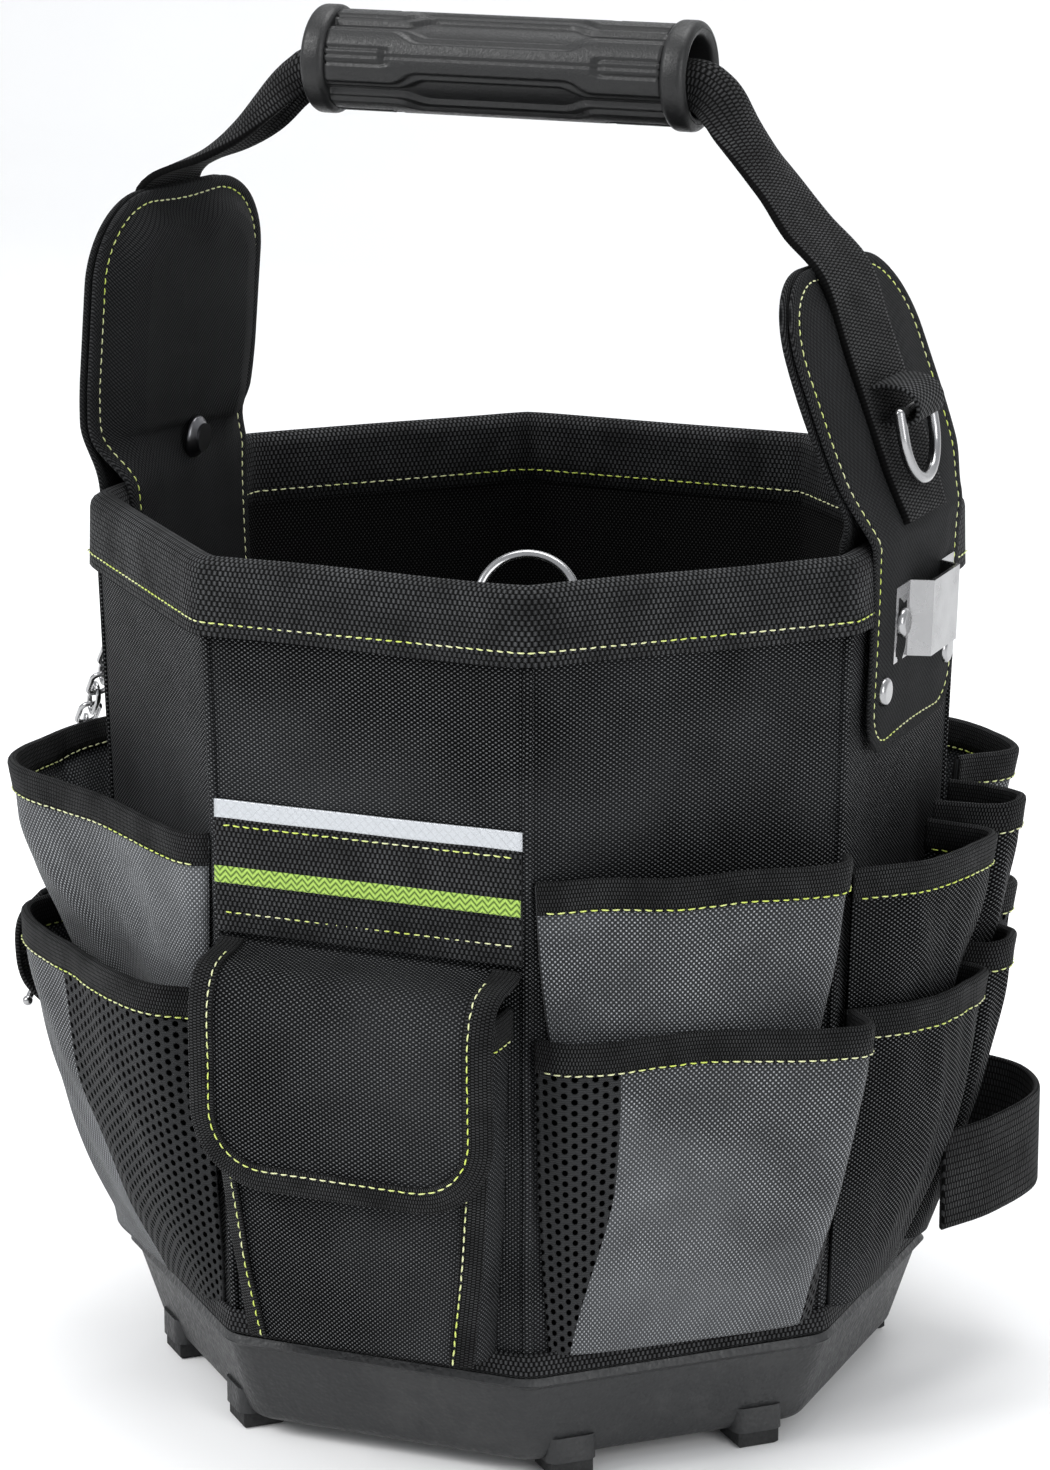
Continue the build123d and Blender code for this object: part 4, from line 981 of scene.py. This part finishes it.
def orient(mesh):
    """Turns every face of a closed mesh outward."""
    work = bmesh.new()
    work.from_mesh(mesh)
    bmesh.ops.recalc_face_normals(work, faces=work.faces)
    work.to_mesh(mesh)
    work.free()


def yokes():
    for heading, side in ((RIGHT, "right"), (LEFT, "left")):
        yoke_pad(f"{side}_yoke_face", heading, lambda z, h: yoke_x(z, h, -1.0), 2.2, 1, [f"{side}_yoke_outer"])
        yoke_pad(f"{side}_yoke_back", heading, yoke_inner_x, 3.0, -1,
                 [f"{side}_yoke_inner", f"{side}_yoke_core"], YOKE_PUFF)


def rivet_washer():
    """Domed washer between the left yoke's inner face and the head of its strap rivet."""
    low, high = box_mm("strap_rivet")
    middle = (low + high) / 2
    lean = LEANS[LEFT]
    axis = Vector((1, 0, -lean)).normalized()
    face_x = -(yoke_inner_x(middle.z, LEFT) - 2.4 - YOKE_PUFF)
    foot = middle + axis * (face_x - middle.x) / axis.x
    reach = high.x - face_x
    profile = [(-0.6, 7.4), (0.5, 7.4), (1.0, 7.0), (1.4, 6.2), (reach - 1.6, 5.4), (reach - 1.3, 4.6), (-0.6, 2.2)]
    side = Vector((0, 1, 0))
    up = axis.cross(side)

    def point(i, j):
        out, r = profile[i]
        a = 2 * math.pi * j / 40
        return foot + axis * out + side * r * math.cos(a) + up * r * math.sin(a)

    mesh = grid_mesh("rivet_washer", len(profile), 40, point, lambda i, j: (j, i), True, True)
    orient(mesh)
    return finish_object("rivet_washer", mesh, MAT["nickel"], "bucket")


# ------------------------------------------------------------ carrying strap and grip
def strap_x(z, heading):
    """Middle of the strap where it lies on a yoke."""
    lean = LEANS[heading]
    return yoke_x(z, heading) + (2.9 + STRAP_T / 2) / math.cos(math.atan(lean))


def strap_path():
    """(centre, fold share) along the strap from the right yoke through the grip to the left."""
    fold_z = HANDLE[2]
    half = GRIP_HALF + 2
    mid, top_z = GRIP_AT[0], GRIP_AT[2]
    knots = [(strap_x(z, RIGHT), z, 0) for z in (STRAP_Z0, 345, 375, 396)]
    knots += [(101, 410, 0.08), (91, fold_z, 0.2), (79, fold_z + 17, 0.45), (mid + half + 3, top_z - 5, 0.8),
              (mid + half - 12, top_z - 2, 1), (mid, top_z - 2, 1), (mid - half + 10, top_z - 3, 1),
              (mid - half - 6, top_z - 7, 0.8), (-104, fold_z + 10, 0.45), (-116, fold_z + 1, 0.25),
              (-127, fold_z - 4.5, 0.1), (-134, fold_z - 9, 0)]
    knots += [(-strap_x(z, LEFT), z, 0) for z in (408, 378, 345, STRAP_Z0)]
    count = 190
    path = curve([(x, f * 60, z) for x, z, f in knots], count)
    return [(Vector((p.x, 0, p.z)), min(1, max(0, p.y / 60))) for p in path]


def strap_section(share):
    """Middle line of the strap across its width: flat at 0, its edges curled under at 1."""
    turn = max(0.02, STRAP_CURL * smooth(share))
    radius = STRAP_W / turn
    points = []
    for k in range(25):
        a = turn * (k / 24 - 0.5)
        points.append((radius * math.sin(a), radius * (math.cos(a) - 1) + 7 * smooth(share)))
    return points


def carrying_strap():
    path = strap_path()
    centres = [p for p, _ in path]
    sections = [strap_section(share) for _, share in path]
    rows, cols = len(path), len(sections[0])
    along = [0.0]
    for a, b in zip(centres, centres[1:]):
        along.append(along[-1] + (b - a).length)
    normals = []
    for i in range(rows):
        step = centres[min(i + 1, rows - 1)] - centres[max(i - 1, 0)]
        normals.append(Vector((-step.z, 0, step.x)).normalized())
    if normals[0].x < 0:
        normals = [-n for n in normals]

    def point(i, j):
        a, b = sections[i][j]
        z = centres[i].z
        turned = twist(a, z, RIGHT if i < rows / 2 else LEFT)
        return centres[i] + Vector((turned * (1 - smooth(z, 405, 424)), a, 0)) + normals[i] * b

    mesh = grid_mesh("carrying_strap", rows, cols, point, lambda i, j: (j * STRAP_W / (cols - 1), along[i]))
    thing = finish_object("carrying_strap", mesh, MAT["strap"], None,
                          ["handle_webbing", "right_yoke_strap", "left_yoke_strap"])
    thicken(thing, STRAP_T)
    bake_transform(thing)
    return thing


def grip_height(angle, x):
    """Radius of the grip: raised bone-shaped pads in two steps, with windows between them."""
    reach = abs(x)
    quarter = math.pi / 2
    a = abs((angle + quarter / 2) % quarter - quarter / 2) * 180 / math.pi
    waist = smooth(reach, 24, 34)
    body = 14.3
    first = mix(29, 41, waist)
    second = mix(19, 33, smooth(reach, 27, 37))
    body += 1.7 * (1 - smooth(a, first - 2.4, first))
    body += 1.2 * (1 - smooth(a, second - 2.0, second))
    seam = 0.7 * (1 - smooth(a, 0.6, 1.8))
    slot = 1.0 * (1 - smooth(abs(a - 9), 0.6, 1.8)) * smooth(reach, 38, 40)
    slot += 1.0 * (1 - smooth(abs(reach - 39), 0.6, 1.6)) * (1 - smooth(a, 8, 10))
    return body - seam - slot


def flange_profile(half, bore_r, flange_r, flange_t, roll):
    """(x, radius) from the middle of the bore out round the end flange to the grip's body."""
    line = [(-mix(0, half - roll, k / 8), bore_r) for k in range(9)]
    for centre_r, first in ((bore_r + roll, 270), (flange_r - roll, 180)):
        for k in range(8):
            a = math.radians(first - 90 * k / 7)
            line.append((-half + roll + roll * math.cos(a), centre_r + roll * math.sin(a)))
    for k in range(8):
        a = math.radians(90 - 90 * k / 7)
        line.append((-half + flange_t - roll + roll * math.cos(a), flange_r - roll + roll * math.sin(a)))
    return line


def grip():
    """Hollow rubber grip with rolled end flanges."""
    flange_r, bore_r, flange_t, roll = 18.6, 13.5, 9.0, 2.6
    around, body_rows = 176, 96
    half = GRIP_HALF - flange_t
    end = flange_profile(GRIP_HALF, bore_r, flange_r, flange_t, roll)
    body = [(mix(-half, half, k / body_rows), None) for k in range(body_rows + 1)]
    rows = end + body + [(-x, r) for x, r in reversed(end)]

    def point(i, j):
        x, r = rows[i]
        a = 2 * math.pi * j / around
        r = r or grip_height(a + math.radians(12), x)
        return Vector((GRIP_AT[0] + x, r * math.cos(a), GRIP_AT[2] + r * math.sin(a)))

    mesh = grid_mesh("grip_rubber", len(rows), around, point, lambda i, j: (j * 0.6, i), True)
    weld(mesh)
    orient(mesh)
    return finish_object("grip_rubber", mesh, MAT["rubber"], "grip", ["grip"])


# ------------------------------------------------------------ front panel
FLAP_HALF = 53.5
FLAP_Z0 = box_mm("front_flap")[0].z
FLAP_R = 26
FLAP_TOP = 183
HINGE = [x / MM for x in JOINTS["flap_open"]["pos_m"]]
FLAP_LINE = curve([(1.2, FLAP_TOP, 0), (3, 181.5, 0), (8, 180.5, 0), (15, 179.5, 0), (21, 177, 0), (24.6, 170, 0),
                   (26, 158, 0), (26.3, 140, 0), (26.3, 122, 0), (26, FLAP_Z0, 0)], 60)
FLAP_LENGTH = length_of(FLAP_LINE)


def flap_spot(u, down):
    """A point of the flap: u across it, down from its sewn top edge, in mm of cloth."""
    share = min(1, max(0, down / FLAP_LENGTH)) * (len(FLAP_LINE) - 1)
    k = min(int(share), len(FLAP_LINE) - 2)
    p = FLAP_LINE[k].lerp(FLAP_LINE[k + 1], share - k)
    step = (FLAP_LINE[k + 1] - FLAP_LINE[k]).normalized()
    normal = Vector((-step.y, step.x))
    crown = (1 - (u / FLAP_HALF) ** 2) * 1.2 * smooth(down, 8, 40)
    wave = noise.noise(Vector((u * 0.045, down * 0.05, 3))) * 0.7 * smooth(down, 4, 30)
    out, z = p.x + normal.x * (crown + wave), p.y + normal.y * (crown + wave)
    away = at(FRONT, 0, normal.x, 0) - at(FRONT, 0, 0, 0) + Vector((0, 0, normal.y))
    return at(FRONT, u, out, z), away.normalized()


def flap_edge(count):
    """Outline of the flap as (u, down) points, from one top corner round the foot to the other."""
    low = FLAP_LENGTH - FLAP_R
    left = [Vector((-FLAP_HALF, low * k / 12)) for k in range(12)]
    turn = [Vector((-FLAP_HALF + FLAP_R - FLAP_R * math.cos(a), low + FLAP_R * math.sin(a)))
            for a in (math.pi / 2 * k / 14 for k in range(15))]
    half = left + turn
    return spaced(half + [Vector((-p.x, p.y)) for p in reversed(half)], count)


def blend_flap(thing):
    x, y, z = HINGE
    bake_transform(thing)


def flap():
    """Pocket flap: cloth with a bound, stitched edge, sewn to the panel under the web band."""
    count = 150
    edge = flap_edge(count)
    rows, cols = 60, 64

    def half_at(down):
        low = FLAP_LENGTH - FLAP_R
        if down <= low:
            return FLAP_HALF
        drop = min(FLAP_R, down - low)
        return FLAP_HALF - FLAP_R + math.sqrt(max(0.0, FLAP_R ** 2 - drop ** 2))

    def point(i, j):
        down = FLAP_LENGTH * (1 - (1 - i / (rows - 1)) ** 1.25)
        u = half_at(down) * (2 * j / (cols - 1) - 1)
        return flap_spot(u, down)[0]

    def uv(i, j):
        down = FLAP_LENGTH * (1 - (1 - i / (rows - 1)) ** 1.25)
        return half_at(down) * (2 * j / (cols - 1) - 1), down

    cloth = finish_object("flap_cloth", grid_mesh("flap_cloth", rows, cols, point, uv), MAT["ballistic"], None,
                          ["front_flap"])
    thicken(cloth, 1.8)
    blend_flap(cloth)
    spots, inward, away = [], [], []
    for k in range(count):
        p, n = flap_spot(*edge[k])
        a, b = edge[max(k - 1, 0)], edge[min(k + 1, count - 1)]
        step = (b - a).normalized()
        inside = Vector((-step.y, step.x)) if (Vector((0, 40)) - edge[k]).dot(Vector((-step.y, step.x))) > 0 \
            else Vector((step.y, -step.x))
        q, _ = flap_spot(edge[k].x + inside.x * 2, edge[k].y + inside.y * 2)
        spots.append(p)
        inward.append((q - p).normalized())
        away.append(n)
    section = fold(9.5, 1.8, 1.0)
    tape = sweep("flap_binding", [p + d * 1.3 for p, d in zip(spots, inward)], away, [-d for d in inward], section)
    orient(tape)
    bound = finish_object("flap_binding", tape, MAT["binding"], None, ["front_flap_binding"])
    blend_flap(bound)
    line = [p + d * 7.2 + n * 2.1 for p, d, n in zip(spots, inward, away)]
    stitch_row("flap", line[6:-6], away[6:-6])


def front_pocket():
    """Box pocket behind the flap, with bound side edges that close in towards the base."""
    foot = [(-43, 0), (-42, 10), (-38, 15), (-30, 16.5), (0, 17), (30, 16.5), (38, 15), (42, 10), (43, 0)]
    mouth = [(-50, 0), (-50.5, 12), (-49, 20), (-42, 23.5), (0, 24), (42, 23.5), (49, 20), (50.5, 12), (50, 0)]
    item = Pocket(FRONT, 49, 170, foot, mouth, "ballistic", folds=0.5, seed=21)
    item.build("front_pocket")
    tape = [item.rim_tape()]
    for s in (0.16, 0.84):
        spots, normals, sides = [], [], []
        for i in range(50):
            t = mix(0.0, 0.97, i / 49)
            n = item.normal(s, t)
            spots.append(item.spot(s, t) + n * 0.9)
            normals.append(n)
        for i in range(50):
            step = spots[min(i + 1, 49)] - spots[max(i - 1, 0)]
            sides.append(step.cross(normals[i]).normalized())
        tape.append(sweep("edge", spots, sides, normals, slab(8.5, 1.3, 4)))
        stitch_row("pockets", [p + n * 0.8 + w * (1 if s < 0.5 else -1) * 3.0
                               for p, n, w in zip(spots, normals, sides)], normals)
    mesh = join_meshes("front_pocket_tapes", tape)
    finish_object("front_pocket_tapes", mesh, MAT["binding"], "bucket")
    return item


def front_strip(name, z0, z1, out, thick, key, node, margin=1.5):
    """A flat tape across the front panel, ending margin short of its corners."""
    cols, middle = 60, (z0 + z1) / 2
    half = apothem(middle) * HALF_SIDE - margin
    centres, normals = [], []
    for j in range(cols):
        u = mix(-half, half, j / (cols - 1))
        ripple = noise.noise(Vector((u * 0.04, z0, 2))) * 0.35
        centres.append(at(FRONT, u, out + thick / 2 + ripple + 0.15, middle))
        normals.append(outward(FRONT))
    mesh = sweep(name, centres, [Vector((0, 0, 1))] * cols, normals, slab(z1 - z0, thick, 8))
    return finish_object(name, mesh, MAT[key], "bucket", [node])


def front_strips():
    low, high = [box_mm("web_band")[k].z for k in (0, 1)]
    stripe_low, stripe_high = [box_mm("lime_stripe")[k].z for k in (0, 1)]
    top_low, top_high = [box_mm("reflective_strip")[k].z for k in (0, 1)]
    front_strip("web_band_tape", low, high, 0.1, 1.5, "rim", "web_band")
    front_strip("lime_tape", stripe_low, stripe_high, 1.7, 0.7, "lime", "lime_stripe")
    front_strip("reflective_tape", top_low - 0.6, top_high, 0.1, 0.8, "reflective", "reflective_strip")
    half = apothem(low) * HALF_SIDE - 4
    for z in (low + 7, high - 2.5):
        line = [at(FRONT, mix(-half, half, k / 30), 1.9, z) for k in range(31)]
        stitch_row("front", line, [outward(FRONT)] * 31)


def pocket_face(item, x, z):
    """The point of the front pocket's cloth at x and near height z, and the way it faces."""
    t = (z - item.z0) / (item.z1 - item.z0)
    low, high = 0.2, 0.8
    for _ in range(14):
        s = (low + high) / 2
        low, high = (s, high) if item.spot(s, t).x < x else (low, s)
    return item.spot(s, t), item.normal(s, t)


def flap_back(x, z):
    """The point of the flap's cloth at x and height z, and the way its back faces."""
    low, high = 0.0, FLAP_LENGTH
    for _ in range(14):
        down = (low + high) / 2
        low, high = (down, high) if flap_spot(x, down)[0].z > z else (low, down)
    spot, away = flap_spot(x, down)
    return spot, -away


def tape_pads(item):
    """Hook tape on the back of the flap and loop tape on the pocket, each a sheet of tufts."""
    for node, body, face in (("hook_tape", "flap", flap_back),
                             ("loop_tape", "bucket", lambda x, z: pocket_face(item, x, z))):
        low, high = box_mm(node)
        rows, cols = 26, 52

        def point(i, j):
            x = mix(low.x + 1, high.x - 1, j / (cols - 1))
            z = mix(low.z + 0.5, high.z - 0.5, i / (rows - 1))
            spot, away = face(x, z)
            return spot + away * (1.3 + noise.noise(Vector((x * 1.7, z * 1.7, 1))) * 0.3)

        mesh = grid_mesh(node + "_sheet", rows, cols, point, lambda i, j: (j, i))
        thing = finish_object(node + "_sheet", mesh, MAT["tape"], body, [node])
        thicken(thing, 0.8)


# ------------------------------------------------------------ loops
def strip_along(name, points, side, width, thick, nodes, key="strap", count=44):
    """A strap bent along points, its width lying along side."""
    centres = curve(points, count)
    side = side.normalized()
    normals = []
    for i in range(count):
        step = centres[min(i + 1, count - 1)] - centres[max(i - 1, 0)]
        normals.append(side.cross(step).normalized())
    mesh = sweep(name, centres, [side] * count, normals, slab(width, thick, 8))
    orient(mesh)
    return finish_object(name, mesh, MAT[key], "bucket", nodes)


def loops():
    turn = math.atan(LEANS[RIGHT])
    up = Vector((-math.sin(turn), 0, math.cos(turn)))
    away = Vector((math.cos(turn), 0, math.sin(turn)))
    bar = Vector([x / MM for x in JOINTS["d_ring_swing"]["pos_m"]])
    roll = [(-7.4, 11), (-4, 10.5), (0, 9), (3.6, 6.5), (5.6, 3), (5.6, -0.5), (4, -3.2), (1, -4), (-3, -3), (-7.4, -1.6)]
    path = [bar + away * out + up * rise for out, rise in roll]
    strip_along("d_ring_webbing", path, Vector((0, 1, 0)), 27.5, 1.5, ["d_ring_loop"], "rim", 60)

    heading = FRONT + STEP / 2
    away, along = outward(heading), outward(heading + 90)
    bar = Vector([x / MM for x in JOINTS["inner_ring_swing"]["pos_m"]])
    low = box_mm("inner_ring_loop")[0].z
    ring = [bar + away * 3.4 * math.cos(a) + Vector((0, 0, 3.4 * math.sin(a))) for a in (-0.2, 0.7, 1.5, 2.4, 3.3, 4.1)]
    path = [Vector((0, 0, low)) + Vector((bar.x, bar.y, 0)) + away * 3.6, bar + away * 3.5 - Vector((0, 0, 8)), *ring,
            bar + away * 1.4 - Vector((0, 0, 7)), Vector((bar.x, bar.y, low)) + away * 1.6]
    strip_along("key_ring_tab", path, along, 10, 1.3, ["inner_ring_loop"], "binding", 60)

    low, high = box_mm("tool_loop")
    line = [(3, 24), (26, 34.5), (60, 40), (84, 27), (93, 5)]
    middle = (low.z + high.z) / 2
    points = [at(RIGHT, u, out - 1.2, middle) for u, out in line]
    strip_along("tool_loop_webbing", points, Vector((0, 0, 1)), high.z - low.z, 2.3, ["tool_loop"])

    low, high = box_mm("side_loop")
    width, middle = high.y - low.y, (high.y + low.y) / 2
    path = [(30, 119), (40.5, 128), (43, 140), (41, 152), (32, 162)]
    points = [at(LEFT, -middle, out + 1.2, z) for out, z in path]
    strip_along("side_loop_webbing", points, Vector((0, 1, 0)), width, 2.3, ["side_loop"])


# ------------------------------------------------------------ build
shell()
lining()
rim()
base_band()
corner_welts()
pocket_set()
yokes()
rivet_washer()
carrying_strap()
grip()
flap()
front_pocket_item = front_pocket()
front_strips()
tape_pads(front_pocket_item)
loops()
for group in ("rim", "pockets", "yokes", "front"):
    make_stitches(f"stitches_{group}", group, "bucket")
blend_flap(make_stitches("stitches_flap", "flap", None))


# ------------------------------------------------------------ stage, light and camera
def backdrop():
    """Pale floor that curves up into a wall behind the bucket."""
    look = Look("studio_paper", 0.9, specular=0.1)
    look.set("Base Color", look.blend(look.noise(3, 2), grey(0.86), grey(0.9)))
    profile = [(-4.0, 0.0), (2.2, 0.0)]
    profile += [(2.2 + 1.2 * math.sin(a), 1.2 - 1.2 * math.cos(a)) for a in (math.pi / 2 * k / 12 for k in range(1, 13))]
    profile.append((3.4, 5.0))
    work = bmesh.new()
    rows = [[work.verts.new((x, y, z)) for x in (-5.0, 5.0)] for y, z in profile]
    for a, b in zip(rows, rows[1:]):
        work.faces.new((a[0], a[1], b[1], b[0]))
    mesh = bpy.data.meshes.new("backdrop")
    work.to_mesh(mesh)
    work.free()
    for face in mesh.polygons:
        face.use_smooth = True
    mesh.materials.append(look.material)
    thing = bpy.data.objects.new("backdrop", mesh)
    bpy.context.scene.collection.objects.link(thing)


def softbox(name, place, size, watts, aim=(0, 0, 0.2)):
    light = bpy.data.lights.new(name, "AREA")
    light.shape = "RECTANGLE"
    light.size, light.size_y = size
    light.energy = watts
    lamp = bpy.data.objects.new(name, light)
    lamp.location = place
    lamp.rotation_euler = (Vector(aim) - Vector(place)).to_track_quat("-Z", "Y").to_euler()
    bpy.context.scene.collection.objects.link(lamp)


def studio():
    world = bpy.data.worlds.new("studio_air")
    world.use_nodes = True
    world.node_tree.nodes["Background"].inputs[0].default_value = (0.95, 0.97, 1.0, 1.0)
    world.node_tree.nodes["Background"].inputs[1].default_value = 0.75
    bpy.context.scene.world = world
    softbox("key", (-1.6, -1.7, 1.9), (1.4, 1.4), 62)
    softbox("fill", (2.2, -1.5, 1.1), (1.2, 1.6), 30)
    softbox("top", (0.1, 0.5, 2.4), (1.8, 1.4), 40)
    bpy.context.scene.view_settings.view_transform = "Standard"


def camera():
    view = bpy.data.cameras.new("camera")
    view.sensor_width, view.lens = 36, 119.04
    view.clip_start, view.clip_end = 0.1, 30
    thing = bpy.data.objects.new("camera", view)
    thing.location = (0.6302, -1.5216, 0.6535)
    target = Vector((-0.0008, -0.0003, 0.2250))
    thing.rotation_euler = (target - thing.location).to_track_quat("-Z", "Y").to_euler()
    bpy.context.scene.collection.objects.link(thing)
    bpy.context.scene.camera = thing


backdrop()
studio()
camera()
